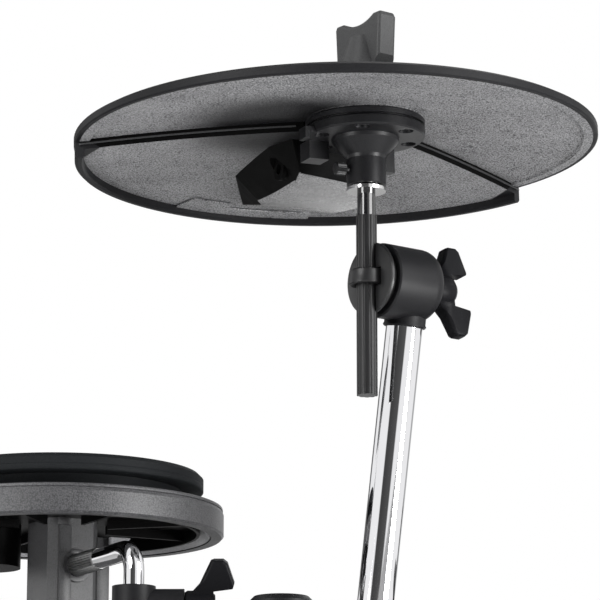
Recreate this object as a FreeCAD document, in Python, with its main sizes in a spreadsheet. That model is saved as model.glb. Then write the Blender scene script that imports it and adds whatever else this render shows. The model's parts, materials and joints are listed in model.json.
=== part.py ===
import FreeCAD, Part
import math
import os

import Sketcher

os.makedirs("parts", exist_ok=True)
doc = FreeCAD.newDocument("drum_kit")
vec = FreeCAD.Vector

# Driving dimensions in millimetres and degrees
sizes = {
    # rack tubes, posts and bars
    "rack_dia": 38.1,
    "rack_wall": 2.0,
    "front_half": 277.0,
    "front_bar_z": 610.0,
    "wing_bar_z": 440.0,
    "wing_length": 480.0,
    "wing_angle": 36.87,
    "front_post_top": 646.0,
    "rear_post_top": 486.0,
    "foot_seat": 8.0,
    # corner clamps, rod clamps and their screws
    "clamp_rad": 26.0,
    "clamp_half": 25.0,
    "socket_reach": 46.0,
    "rod_clamp_half": 18.0,
    "rod_offset": 37.0,
    "boss_top": 52.0,
    "boss_wall": 6.5,
    "screw_level": 40.0,
    "screw_boss_end": 30.0,
    "screw_rad": 4.0,
    "play": 0.3,
    "fit": 0.05,
    # wing screws
    "wing_hub_rad": 9.5,
    "wing_hub_len": 18.0,
    "wing_span": 28.5,
    "wing_rise": 29.5,
    "wing_thick": 9.0,
    "tilter_nut_turn": 8.0,
    # cymbal arm and tilter
    "arm_dia": 22.2,
    "arm_wall": 1.8,
    "arm_lean": 10.2,
    "crash_arm": 400.0,
    "ride_arm": 360.0,
    "hihat_arm": 120.0,
    "arm_tail": 45.0,
    "tilter_rad": 22.5,
    "tilter_left": 14.0,
    "tilter_right": 14.0,
    "tilter_round": 12.0,
    "eye_offset": 32.0,
    "eye_rad": 10.5,
    "eye_high": 9.0,
    "disc_rad": 22.5,
    # cymbal rod, seat and top nut
    "rod_dia": 12.5,
    "rod_down": 71.0,
    "rod_fluted_top": 38.0,
    "rod_neck_dia": 11.0,
    "rod_neck_top": 53.0,
    "stud_rad": 4.0,
    "stud_top": 138.0,
    "ball_rad": 9.0,
    "pad_level": 97.4,
    "nut_rad": 14.0,
    "nut_low": 23.6,
    "nut_top": 63.1,
    "nut_half": 22.0,
    "nut_thick": 13.5,
    "nut_turn": -90.0,
    # cymbal pad
    "pad_rad": 160.0,
    "pad_offset": 40.5,
    "pad_turn": 11.8,
    "pad_roll": 1.2,
    "rim_high": 6.4,
    "rim_skin": 3.0,
    "dome_high": 13.0,
    "skin": 3.6,
    "bell_rad": 34.0,
    "bell_top": 20.0,
    "centre_hole": 10.0,
    "pan_rise": 6.5,
    "seat_low": 0.5,
    "tray_deep": 6.0,
    "tray_edge": 0.5,
    "lip_low": 16.6,
    "lip_wide": 5.5,
    "tray_angle": 16.4,
    "pod_low": 25.4,
    "plate_rad": 36.0,
    "plate_top": 5.4,
    "plate_low": 11.9,
    "cup_rad": 11.8,
    "cup_low": 40.6,
    # drum pad and its bent rod
    "drum_rad": 100.9,
    "drum_rim": 17.0,
    "head_rad": 88.0,
    "head_top": 39.0,
    "head_neck": 13.0,
    "neck_wall": 3.0,
    "well_low": 9.5,
    "well_top": 12.0,
    "leg_drop": 20.0,
    "block_half": 17.0,
    "block_deep": 20.0,
    "block_bevel": 5.0,
    "block_low": 62.0,
    "bend_rad": 14.0,
    "leg_level": 75.0,
    "leg_reach": 104.0,
    "leg_turn": 28.8,
    "low_leg_level": 105.0,
    "snare_reach": 170.0,
    "floor_reach": 150.0,
    "rod_tail": 170.0,
    # sound module
    "case_wide": 220.0,
    "case_deep": 150.0,
    "case_high": 42.0,
    "case_wall": 3.0,
    "module_level": 280.0,
    "module_tilt": 32.0,
    "dial_rad": 19.0,
    "volume_rad": 9.0,
    "button_rad": 6.0,
    # foot pedals
    "pedal_long": 280.0,
    "pedal_wide": 96.0,
    "board_wide": 84.0,
    "board_thick": 8.0,
    "board_angle": 11.0,
    # stations along the bars
    "tom_inset": 87.7,
    "tom_pitch": 284.0,
    "cymbal_at": 69.3,
    "ride_at": 110.0,
    "drum_at": 190.0,
    "floor_at": 205.0,
    "hihat_inset": 92.0,
    "module_inset": 82.0,
    "kick_y": 230.0,
    "hihat_pedal_x": 395.0,
    "hihat_pedal_y": 440.0,
    "centre_x": 2.721,
    "centre_y": 229.614,
}

dims = doc.addObject("Spreadsheet::Sheet", "dims")
for row, (alias, number) in enumerate(sizes.items(), start=1):
    dims.set("A%d" % row, alias.replace("_", " "))
    dims.set("B%d" % row, str(number))
    dims.setAlias("B%d" % row, alias)
doc.recompute()


# Value of an expression on the sheet, in plain numbers
def size(expression):
    if not isinstance(expression, str):
        return float(expression)
    return float(dims.evalExpression(expression))


def bind(target, name, expression):
    if isinstance(expression, str):
        target.setExpression(name, expression)
    else:
        setattr(target, name, expression)


def new_body(label):
    body = doc.addObject("PartDesign::Body", label)
    body.Label = label
    return body


def new_sketch(body, plane, lift):
    sketch = body.newObject("Sketcher::SketchObject", "sketch")
    support = [item for item in body.Origin.OriginFeatures if item.Role == plane + "_Plane"][0]
    sketch.AttachmentSupport = [(support, "")]
    sketch.MapMode = "FlatFace"
    sketch.AttachmentOffset = FreeCAD.Placement(vec(0, 0, size(lift)), FreeCAD.Rotation())
    if isinstance(lift, str):
        sketch.setExpression("AttachmentOffset.Base.z", lift)
    return sketch


# Centre of the short arc of a radius from one point to the next
def arc_centre(start, end, radius, turn):
    middle = (start + end) * 0.5
    chord = end - start
    rise = math.sqrt(max(radius * radius - chord.Length * chord.Length / 4, 0))
    side = vec(-chord.y, chord.x, 0).normalize() * turn
    return middle + side * rise


# Closed outline whose corners and arc radii hang on the sheet
def outline(body, plane, corners, lift=0.0):
    sketch = new_sketch(body, plane, lift)
    spots = [vec(size(corner[0]), size(corner[1]), 0) for corner in corners]
    count = len(corners)
    starts = []
    ends = []
    for index, corner in enumerate(corners):
        start = spots[index]
        end = spots[(index + 1) % count]
        if len(corner) == 2:
            sketch.addGeometry(Part.LineSegment(start, end))
            starts.append(1)
            ends.append(2)
            continue
        radius = size(corner[2])
        centre = arc_centre(start, end, radius, corner[3])
        first, last = (start, end) if corner[3] > 0 else (end, start)
        begin = math.atan2(first.y - centre.y, first.x - centre.x)
        finish = math.atan2(last.y - centre.y, last.x - centre.x)
        circle = Part.Circle(centre, vec(0, 0, 1), radius)
        sketch.addGeometry(Part.ArcOfCircle(circle, begin, finish))
        starts.append(1 if corner[3] > 0 else 2)
        ends.append(2 if corner[3] > 0 else 1)
    for index, corner in enumerate(corners):
        after = (index + 1) % count
        sketch.addConstraint(Sketcher.Constraint("Coincident", index, ends[index], after, starts[after]))
    for index, corner in enumerate(corners):
        for kind, value in (("DistanceX", corner[0]), ("DistanceY", corner[1])):
            rule = Sketcher.Constraint(kind, -1, 1, index, starts[index], size(value))
            number = sketch.addConstraint(rule)
            if isinstance(value, str):
                sketch.setExpression("Constraints[%d]" % number, value)
        if len(corner) > 2:
            number = sketch.addConstraint(Sketcher.Constraint("Radius", index, size(corner[2])))
            if isinstance(corner[2], str):
                sketch.setExpression("Constraints[%d]" % number, corner[2])
    return sketch


def feature(body, kind, sketch, **settings):
    made = body.newObject("PartDesign::" + kind, kind.lower())
    made.Profile = sketch
    for name, value in settings.items():
        bind(made, name, value)
    sketch.Visibility = False
    body.Tip = made
    return made


# Straight-sided solid between two outlines of as many corners
def lofted(body, first, last):
    made = body.newObject("PartDesign::AdditiveLoft", "loft")
    made.Profile = first
    made.Sections = [last]
    made.Ruled = True
    first.Visibility = False
    last.Visibility = False
    body.Tip = made
    return made


def turned(body, corners, plane="XZ", axis="V_Axis", lift=0.0, cut=False):
    sketch = outline(body, plane, corners, lift)
    kind = "Groove" if cut else "Revolution"
    return feature(body, kind, sketch, ReferenceAxis=(sketch, [axis]), Angle=360.0)


directions = {
    "z": FreeCAD.Rotation(),
    "x": FreeCAD.Rotation(vec(0, 1, 0), 90),
    "y": FreeCAD.Rotation(vec(1, 0, 0), -90),
}


# Cylinder, cone, sphere or box added to a body or taken from it
def block(body, kind, at, way="z", **settings):
    made = body.newObject("PartDesign::" + kind, kind.lower())
    spot = vec(size(at[0]), size(at[1]), size(at[2]))
    made.Placement = FreeCAD.Placement(spot, directions[way])
    for axis, value in zip("xyz", at):
        if isinstance(value, str):
            made.setExpression("Placement.Base." + axis, value)
    for name, value in settings.items():
        bind(made, name, value)
    body.Tip = made
    return made


def add_rod(body, at, way, radius, length):
    return block(body, "AdditiveCylinder", at, way, Radius=radius, Height=length)


def bore(body, at, way, radius, length):
    return block(body, "SubtractiveCylinder", at, way, Radius=radius, Height=length)


def add_box(body, at, long, wide, high):
    return block(body, "AdditiveBox", at, "z", Length=long, Width=wide, Height=high)


def cut_box(body, at, long, wide, high):
    return block(body, "SubtractiveBox", at, "z", Length=long, Width=wide, Height=high)


# Repeat features evenly round the upright axis of a body
def around(body, features, count):
    pattern = body.newObject("PartDesign::PolarPattern", "pattern")
    pattern.Originals = features
    upright = [item for item in body.Origin.OriginFeatures if item.Role == "Z_Axis"][0]
    pattern.Axis = (upright, [""])
    pattern.Angle = 360.0
    pattern.Occurrences = count
    body.Tip = pattern
    return pattern


# Round the edges of a body's last feature that lie where the test says
def round_edges(body, test, radius):
    doc.recompute()
    base = body.Tip
    names = []
    for number, edge in enumerate(base.Shape.Edges, start=1):
        if test(edge.BoundBox):
            names.append("Edge%d" % number)
    made = body.newObject("PartDesign::Fillet", "fillet")
    made.Base = (base, names)
    bind(made, "Radius", radius)
    body.Tip = made
    return made


def placed(x=0.0, y=0.0, z=0.0, yaw=0.0):
    return FreeCAD.Placement(vec(x, y, z), FreeCAD.Rotation(vec(0, 0, 1), yaw))


def tilted(axis, angle):
    return FreeCAD.Placement(vec(), FreeCAD.Rotation(axis, angle))


across = FreeCAD.Placement(vec(), directions["x"])

nodes = {}


def node(label, piece, place=None):
    if place is not None:
        piece.Placement = place
    piece.Label = label
    nodes[label] = piece


def copy_of(piece, place):
    link = doc.addObject("App::Link", piece.Name + "_copy")
    link.LinkedObject = piece
    link.Placement = place
    return link


def group(label, pieces):
    compound = doc.addObject("Part::Compound", label)
    compound.Links = pieces
    node(label, compound)


# Where a station stands on the front bar or on a wing bar
def on_front(x):
    return placed(x, 0, size("dims.front_bar_z"))


def on_wing(side, along):
    turn = size("dims.wing_angle")
    x = size("dims.front_half") + along * math.cos(math.radians(turn))
    y = along * math.sin(math.radians(turn))
    return placed(side * x, y, size("dims.wing_bar_z"), side * turn)


kit = placed(-size("dims.centre_x"), -size("dims.centre_y"), 0)
lean = tilted(vec(1, 0, 0), size("dims.arm_lean"))

stations = {
    "crash": kit * on_wing(1, size("dims.cymbal_at")),
    "ride": kit * on_wing(-1, size("dims.ride_at")),
    "hihat": kit * on_wing(1, size("dims.wing_length - dims.hihat_inset")),
    "tom1": kit * on_front(size("dims.front_half - dims.tom_inset")),
    "tom2": kit * on_front(size("dims.front_half - dims.tom_inset - dims.tom_pitch")),
    "snare": kit * on_wing(1, size("dims.drum_at")),
    "tom3": kit * on_wing(-1, size("dims.floor_at")),
    "module": kit * on_wing(-1, size("dims.wing_length - dims.module_inset")),
}


# Round tube standing on its lower end
def tube(label, diameter, wall, length):
    body = new_body(label)
    add_rod(body, (0, 0, 0), "z", diameter + " / 2", length)
    bore(body, (0, 0, 0), "z", "%s / 2 - %s" % (diameter, wall), length)
    return body


# Rack: posts, bars, corner clamps, feet and caps
post_places = {}
for side, hand in ((1, "right"), (-1, "left")):
    post_places["front_" + hand] = kit * placed(side * size("dims.front_half"), 0, 0)
    end = on_wing(side, size("dims.wing_length"))
    post_places["rear_" + hand] = kit * placed(end.Base.x, end.Base.y, 0)

seat = placed(0, 0, size("dims.foot_seat"))
front_post = tube("front_post", "dims.rack_dia", "dims.rack_wall", "dims.front_post_top - dims.foot_seat")
rear_post = tube("rear_post", "dims.rack_dia", "dims.rack_wall", "dims.rear_post_top - dims.foot_seat")
posts = []
for name, place in post_places.items():
    posts.append(copy_of(front_post if "front" in name else rear_post, place * seat))
group("rack_posts", posts)

bar_gap = "dims.rack_dia / 2 + 5"
front_bar = tube("front_bar", "dims.rack_dia", "dims.rack_wall", "2 * (dims.front_half - (%s))" % bar_gap)
wing_bar = tube("wing_bar", "dims.rack_dia", "dims.rack_wall", "dims.wing_length - 2 * (%s)" % bar_gap)
gap = size(bar_gap)
bars = [copy_of(front_bar, kit * on_front(gap - size("dims.front_half")) * across)]
for side in (1, -1):
    start = kit * on_wing(side, gap if side > 0 else size("dims.wing_length") - gap)
    bars.append(copy_of(wing_bar, start * across))
group("rack_bars", bars)

corner = new_body("corner_clamp_form")
add_rod(corner, (0, 0, "-dims.clamp_half"), "z", "dims.clamp_rad", "2 * dims.clamp_half")
add_rod(corner, (0, 0, 0), "x", "dims.clamp_rad - 1.5", "dims.socket_reach")
bore(corner, (0, 0, "-dims.clamp_half"), "z", "dims.rack_dia / 2 + dims.fit", "2 * dims.clamp_half")
bore(corner, ("dims.rack_dia / 2 + 4", 0, 0), "x", "dims.rack_dia / 2 + dims.fit", "dims.socket_reach")
cut_box(corner, ("dims.rack_dia / 2 + 6", "-1.5", "-dims.clamp_rad"), "dims.socket_reach", 3.0,
        "dims.clamp_rad - dims.rack_dia / 2")
add_box(corner, ("dims.socket_reach - 24", "1.5", "-dims.clamp_rad - 7"), 18.0, 7.0, 12.0)
add_box(corner, ("dims.socket_reach - 24", "-8.5", "-dims.clamp_rad - 7"), 18.0, 7.0, 12.0)
bore(corner, ("dims.socket_reach - 15", "-9", "-dims.clamp_rad - 2.5"), "y", "3 + dims.fit", 18.0)
bore(corner, ("dims.rack_dia / 2 + 4", 0, 0), "x", "dims.rack_dia / 2 + dims.fit", "dims.socket_reach")

bolt = new_body("corner_bolt_form")
add_rod(bolt, (0, -13.0, 0), "y", 5.0, 4.45)
add_rod(bolt, (0, -13.0, 0), "y", 3.0, 24.0)
add_rod(bolt, (0, 8.55, 0), "y", 5.2, 4.4)
bolt_seat = placed(size("dims.socket_reach - 15"), 0, size("-dims.clamp_rad - 2.5"))

corner_places = []
for side, hand in ((1, "right"), (-1, "left")):
    turn = side * size("dims.wing_angle")
    low = placed(0, 0, size("dims.wing_bar_z"))
    high = placed(0, 0, size("dims.front_bar_z"))
    inward = 180 if side > 0 else 0
    corner_places.append(post_places["front_" + hand] * high * placed(yaw=inward))
    corner_places.append(post_places["front_" + hand] * low * placed(yaw=turn + 180 - inward))
    corner_places.append(post_places["rear_" + hand] * low * placed(yaw=turn + inward))
group("corner_clamps", [copy_of(corner, place) for place in corner_places])
group("corner_bolts", [copy_of(bolt, place * bolt_seat) for place in corner_places])

foot = new_body("foot_form")
tube_rad = "dims.rack_dia / 2 + dims.fit"
turned(foot, [(0, 0), (26, 0), (28, 3), (28, 9), ("24.5", 14), ("23", 42), ("22", 44),
              (tube_rad, 44), (tube_rad, "dims.foot_seat"), (0, "dims.foot_seat")])
group("rubber_feet", [copy_of(foot, place) for place in post_places.values()])

cap = new_body("cap_form")
plug_rad = "dims.rack_dia / 2 - dims.rack_wall - dims.fit"
turned(cap, [(0, -12), (plug_rad, -12), (plug_rad, 0), ("dims.rack_dia / 2", 0), ("dims.rack_dia / 2", 2),
             ("dims.rack_dia / 2 - 3", 5), (0, 6)])
caps = []
for name, place in post_places.items():
    top = "dims.front_post_top" if "front" in name else "dims.rear_post_top"
    caps.append(copy_of(cap, place * placed(z=size(top))))
group("post_caps", caps)


# Clamp that holds an upright rod beside a bar
def rod_clamp(label, diameter):
    body = new_body(label)
    boss = "%s / 2 + dims.play + dims.boss_wall" % diameter
    add_rod(body, ("-dims.rod_clamp_half", 0, 0), "x", "dims.clamp_rad", "2 * dims.rod_clamp_half")
    add_rod(body, (0, "dims.rod_offset", "-dims.clamp_rad"), "z", boss, "dims.clamp_rad + dims.boss_top")
    add_box(body, (-11.0, 0, "-dims.clamp_rad + 4"), 22.0, "dims.rod_offset", "2 * dims.clamp_rad - 8")
    add_rod(body, (0, "dims.rod_offset", "dims.screw_level"), "x", 10.5, "dims.screw_boss_end")
    bore(body, ("-dims.rod_clamp_half", 0, 0), "x", "dims.rack_dia / 2 + dims.fit", "2 * dims.rod_clamp_half")
    bore(body, (0, "dims.rod_offset", "-dims.clamp_rad"), "z", "%s / 2 + dims.play" % diameter,
         "dims.clamp_rad + dims.boss_top + 2")
    bore(body, (0, "dims.rod_offset", "dims.screw_level"), "x", "dims.screw_rad + dims.play", 60.0)
    return body


small_clamp = rod_clamp("small_clamp_form", "dims.rod_dia")
large_clamp = rod_clamp("large_clamp_form", "dims.arm_dia")
arms = ("crash", "ride", "hihat")
drums = ("tom1", "tom2", "snare", "tom3")
clamps = [copy_of(large_clamp, stations[name] * lean) for name in arms]
clamps += [copy_of(small_clamp, stations[name]) for name in drums + ("module",)]
group("rod_clamps", clamps)


# Wing screw: hub, two flared wings and a shank below the hub
def wing_screw(label, shank):
    body = new_body(label)
    turned(body, [(0, 0), ("dims.wing_hub_rad - 1", 0), ("dims.wing_hub_rad", 1.5),
                  ("dims.wing_hub_rad", "dims.wing_hub_len - 3"),
                  ("dims.wing_hub_rad - 2.5", "dims.wing_hub_len"), (0, "dims.wing_hub_len")])
    wing = [(8, 4), (13, 8.5), ("dims.wing_span - 0.8", "dims.wing_rise - 14"),
            ("dims.wing_span", "dims.wing_rise - 12"), ("dims.wing_span", "dims.wing_rise - 6.5"),
            ("dims.wing_span - 2", "dims.wing_rise - 4"), (14.5, "dims.wing_rise"), (11.5, "dims.wing_rise - 1"),
            (10, "dims.wing_hub_len - 1")]
    other = [("-(%s)" % x, z) for x, z in reversed(wing)]
    blade = outline(body, "XZ", wing + other, "-dims.wing_thick / 2")
    feature(body, "Pad", blade, Length="dims.wing_thick")
    edge = size("dims.wing_thick / 2") - 0.01
    inside = size("dims.wing_hub_rad")

    def on_blade_face(box):
        flat = box.YMax - box.YMin < 0.01 and abs(box.YMax) > edge
        return flat and max(abs(box.XMax), abs(box.XMin)) > inside + 6

    round_edges(body, on_blade_face, 2.0)
    if shank is not None:
        add_rod(body, (0, 0, "-(%s)" % shank), "z", "dims.screw_rad", "%s + 2" % shank)
    return body


# Turn a wing screw so that its shank points along -x of its seat
clamp_shank = "dims.screw_boss_end + dims.play - dims.rod_dia / 2 - 1"
arm_shank = "dims.screw_boss_end + dims.play - dims.arm_dia / 2 - 1"
clamp_screw = wing_screw("clamp_screw_form", clamp_shank)
arm_screw = wing_screw("arm_screw_form", arm_shank)
screw_at = placed(size("dims.screw_boss_end + dims.play"), size("dims.rod_offset"), size("dims.screw_level"))


def screw_place(name, spin):
    base = stations[name] * lean if name in arms else stations[name]
    return base * screw_at * across * placed(yaw=spin)


node("tom1_clamp_screw", clamp_screw, screw_place("tom1", 20))
screws = []
for count, name in enumerate(arms + ("tom2", "snare", "tom3", "module")):
    master = arm_screw if name in arms else clamp_screw
    screws.append(copy_of(master, screw_place(name, 12 * count)))
group("clamp_screws", screws)

# Cymbal arm: tube, tilter, eye bolt, gripping disc and wing nut
tilter = new_body("tilter_form")
turned(tilter, [("-dims.tilter_left", 0), ("-dims.tilter_left", "dims.tilter_rad - 1"),
                ("1 - dims.tilter_left", "dims.tilter_rad"),
                ("dims.tilter_right - dims.tilter_round", "dims.tilter_rad", "dims.tilter_round", -1),
                ("dims.tilter_right", "dims.tilter_rad - dims.tilter_round"), ("dims.tilter_right", 0)],
       "XY", "H_Axis")
add_rod(tilter, (0, 0, "-dims.tilter_rad - 10"), "z", "dims.arm_dia / 2 + 2.6", "dims.tilter_rad")
bore(tilter, (0, 0, "-dims.tilter_rad - 11"), "z", "dims.arm_dia / 2 + dims.fit", 17.0)
bore(tilter, ("-dims.tilter_left - 1", 0, 0), "x", "dims.screw_rad + dims.play",
     "dims.tilter_left + dims.tilter_right + 2")

eye = new_body("eye_form")
add_rod(eye, ("-dims.eye_offset", 0, "-dims.eye_high / 2"), "z", "dims.eye_rad", "dims.eye_high")
add_rod(eye, ("-dims.eye_offset + 4", 0, 0), "x", "dims.screw_rad",
        "dims.eye_offset + dims.tilter_right + 10")
bore(eye, ("-dims.eye_offset", 0, "-dims.eye_high"), "z", "dims.rod_dia / 2 + dims.play", 30.0)

disc = new_body("disc_form")
turned(disc, [(-24, 0), (-24, "dims.disc_rad - 3"), (-22, "dims.disc_rad"), (-19.5, "dims.disc_rad"),
              (-19.5, "dims.disc_rad - 4"), ("-dims.tilter_left - dims.play", "dims.disc_rad - 4"),
              ("-dims.tilter_left - dims.play", 0)], "XY", "H_Axis")
bore(disc, ("-dims.eye_offset", 0, "-dims.disc_rad - 2"), "z", "dims.eye_rad + dims.fit",
     "2 * dims.disc_rad + 4")
bore(disc, (-30.0, 0, 0), "x", "dims.screw_rad + dims.fit", 40.0)

wing_nut = wing_screw("tilter_nut_form", None)
bore(wing_nut, (0, 0, -1.0), "z", "dims.screw_rad + dims.play", 16.0)

# Cymbal rod with lengthwise flutes, a smooth neck and a stud
rod = new_body("rod_form")
add_rod(rod, (0, 0, "-dims.rod_down"), "z", "dims.rod_dia / 2", "dims.rod_down + dims.rod_fluted_top")
flute = bore(rod, ("dims.rod_dia / 2 + 0.5", 0, "-dims.rod_down - 1"), "z", 1.2,
             "dims.rod_down + dims.rod_fluted_top + 1")
around(rod, [flute], 10)
add_rod(rod, (0, 0, "dims.rod_fluted_top"), "z", "dims.rod_neck_dia / 2",
        "dims.rod_neck_top - dims.rod_fluted_top")
add_rod(rod, (0, 0, "dims.rod_neck_top - 1"), "z", "dims.stud_rad", "dims.stud_top - dims.rod_neck_top + 1")

ball_level = "dims.rod_neck_top + 2 + dims.ball_rad"
seat_form = new_body("seat_form")
add_rod(seat_form, (0, 0, "dims.rod_neck_top"), "z", "dims.cup_rad", 2.0)
add_rod(seat_form, (0, 0, "dims.rod_neck_top + 1"), "z", 6.5, "dims.ball_rad + 2")
block(seat_form, "AdditiveSphere", (0, 0, ball_level), Radius="dims.ball_rad")
bore(seat_form, (0, 0, "dims.rod_neck_top"), "z", "dims.stud_rad + dims.fit", 40.0)

felt = new_body("felt_form")
felt_low = "dims.pad_level + dims.bell_top + 1.6"
turned(felt, [("dims.stud_rad + dims.fit", felt_low), ("dims.nut_rad + 1", felt_low),
              ("dims.nut_rad + 1", "dims.pad_level + dims.nut_low"),
              ("dims.stud_rad + dims.fit", "dims.pad_level + dims.nut_low")])

top_nut = new_body("top_nut_form")
nut_base = "dims.pad_level + dims.nut_low + dims.fit"
turned(top_nut, [("dims.stud_rad + dims.play", nut_base), ("dims.nut_rad + 2", nut_base),
                 ("dims.nut_rad + 2", "dims.pad_level + dims.nut_low + 9"),
                 ("dims.nut_rad - 4", "dims.pad_level + dims.nut_top - 12"),
                 (0, "dims.pad_level + dims.nut_top - 10"), (0, "dims.stud_top + 1"),
                 ("dims.stud_rad + dims.play", "dims.stud_top + 1")])
grip_low = "dims.pad_level + dims.nut_low"
grip_top = "dims.pad_level + dims.nut_top"
saddle = "dims.nut_half - 7"
grip_side = [("dims.nut_rad", grip_low + " + 4"), ("dims.nut_half - 1.5", grip_low + " + 13"),
             ("dims.nut_half", grip_top + " - 2.5"), ("dims.nut_half - 1.5", grip_top), (saddle, grip_top)]
grip_back = [("-(%s)" % x, z) for x, z in reversed(grip_side)]
dip = "(dims.nut_half - 7) * 1.97"
grip_side[-1] = (saddle, grip_top, dip, -1)
grip = outline(top_nut, "XZ", grip_side + grip_back, "-dims.nut_thick / 2")
feature(top_nut, "Pad", grip, Length="dims.nut_thick")
bore(top_nut, (0, 0, "dims.pad_level + dims.nut_low - 1"), "z", "dims.stud_rad + dims.play",
     "dims.stud_top - dims.pad_level - dims.nut_low + 2")
nut_face = size("dims.nut_thick / 2") - 0.01
nut_shoulder = size("dims.pad_level + dims.nut_top - 10")
round_edges(top_nut, lambda box: box.YMax - box.YMin < 0.01 and abs(box.YMax) > nut_face and box.ZMax > nut_shoulder,
            2.5)

# Cymbal pad: rubber cover, base, deep strike tray, jack pod, mount plate and swivel cup
disc_plane = "-dims.pad_offset"
hole = "dims.centre_hole"
cover = new_body("cover_form")
lip = "(dims.pad_rad - 4)"
outer_bow = "(%s^2 + (dims.dome_high - 0.6)^2) / (2 * (dims.dome_high - 0.6))" % lip
inner = "(dims.pad_rad - dims.rim_skin)"
inner_rise = "(dims.dome_high - dims.skin + 3.2)"
inner_bow = "(%s^2 + %s^2) / (2 * %s)" % (inner, inner_rise, inner_rise)
turned(cover, [(inner, "-dims.rim_high"), ("dims.pad_rad - 0.8", "-dims.rim_high"),
               ("dims.pad_rad", "0.8 - dims.rim_high"), ("dims.pad_rad", -1.6), (lip, 0.6, outer_bow, 1),
               (0, "dims.dome_high"), (0, "dims.dome_high - dims.skin", inner_bow, -1), (inner, -3.2)],
       lift=disc_plane)
bell_foot = "dims.dome_high - dims.skin + 0.4"
block(cover, "AdditiveCone", (0, 0, bell_foot), Radius1="dims.bell_rad", Radius2="dims.bell_rad - 14",
      Height="dims.bell_top - (%s)" % bell_foot)
bore(cover, (0, 0, -5.0), "z", hole, 60.0)

base = new_body("base_form")
base_edge = "dims.pad_rad - dims.rim_skin - dims.fit"
pan_edge = "(dims.pad_rad - 10)"
pan_bow = "(%s^2 + dims.pan_rise^2) / (2 * dims.pan_rise)" % pan_edge
turned(base, [(0, "dims.pan_rise - 5", pan_bow, -1), (pan_edge, -5), ("dims.pad_rad - 8.6", "-dims.rim_high"),
              (base_edge, "-dims.rim_high"), (base_edge, -3.4), (pan_edge, -3.4, pan_bow, 1),
              (0, "dims.pan_rise - 3.4")], lift=disc_plane)
add_rod(base, (0, 0, "-dims.seat_low"), "z", "dims.plate_rad - 1", 2.5)
add_rod(base, (0, 0, "-dims.seat_low"), "z", "dims.bell_rad / 2",
        "dims.dome_high - dims.skin + dims.seat_low - 2.8")
add_rod(base, (0, "dims.pad_offset + 30", "dims.pan_rise - 5"), "z", 15.0, 1.9)
bore(base, (0, 0, -10.0), "z", hole, 60.0)

# Strike tray: a domed fan with a deep lip along its round edge
tray_rad = "(dims.pad_rad - dims.tray_edge)"
face_rad = "(dims.pad_rad - dims.tray_edge - dims.lip_wide)"
face_mid = "(dims.pan_rise - 5 - dims.tray_deep)"
face_far = "(-5.3 - dims.tray_deep)"
face_rise = "(%s - %s)" % (face_mid, face_far)
face_bow = "(%s^2 + %s^2) / (2 * %s)" % (face_rad, face_rise, face_rise)
tray = new_body("tray_form")
turned(tray, [(0, face_mid, face_bow, -1), (face_rad, face_far), (face_rad, "1.2 - dims.lip_low"),
              (face_rad + " + 1.2", "-dims.lip_low"), (tray_rad + " - 1.6", "-dims.lip_low"),
              (tray_rad, "1.6 - dims.lip_low"), (tray_rad, "-dims.rim_high - dims.fit"),
              ("dims.pad_rad - 8.6", "-dims.rim_high - dims.fit"), (pan_edge, "-5 - dims.fit", pan_bow, 1),
              (0, "dims.pan_rise - 5 - dims.fit")], lift=disc_plane)
past_x = "(18 + 1.5 * (%s * cos(dims.tray_angle) - 18))" % tray_rad
past_y = "(12 + 1.5 * (dims.pad_offset + %s * sin(dims.tray_angle) - 12))" % tray_rad
near_y = "-2 * dims.pad_rad"
near_side = outline(tray, "XY", [(18, 12), (-18, 12), ("-" + past_x, past_y), ("-" + past_x, near_y),
                                 (past_x, near_y), (past_x, past_y)], 20.0)
feature(tray, "Pocket", near_side, Length=60.0)
bore(tray, (0, 0, -40.0), "z", "dims.plate_rad + 1", 60.0)

# Jack pod: narrow by the plate, wide at the far rim, ramping up to the tray
pod = new_body("pod_form")
pod_foot = outline(pod, "XY", [(-33, 36.8), (19.2, 42.3), (50.9, 67.6), (60.9, "dims.pad_rad - 48.8"),
                               (66.5, "dims.pad_rad + 59"), (6.5, "dims.pad_rad + 57.7"),
                               (-36.9, "dims.pad_rad - 35.2"), (-42, 60)], 1.0)
pod_face = outline(pod, "XY", [(-25, 40), (16, 52), (38, 74), (48, "dims.pad_rad - 52"),
                               (44, "dims.pad_rad - 32"), (-8, "dims.pad_rad - 30"),
                               (-16, "dims.pad_rad - 40"), (-18, 60)], "-dims.pod_low")
lofted(pod, pod_foot, pod_face)
turned(pod, [(0, face_mid + " - dims.fit", face_bow, -1), (face_rad, face_far + " - dims.fit"),
             (face_rad + " + 40", face_far + " - dims.fit"), (face_rad + " + 40", 20), (0, 20)],
       lift=disc_plane, cut=True)
jack_axis = "-dims.pod_low + 9"
jack_face = -27.0
bore(pod, (-45.0, 66.0, jack_axis), "x", "7 + dims.fit", 45 + jack_face + 2.4)
bore(pod, (-45.0, 66.0, jack_axis), "x", "5.5 + dims.fit", 45 + jack_face + 20.5)

jack = new_body("jack_form")
add_rod(jack, (jack_face, 66.0, jack_axis), "x", 5.5, 20.0)
add_rod(jack, (jack_face, 66.0, jack_axis), "x", 7.0, "2.4 - dims.fit")
bore(jack, (jack_face - 0.5, 66.0, jack_axis), "x", 3.25, 17.0)

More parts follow.
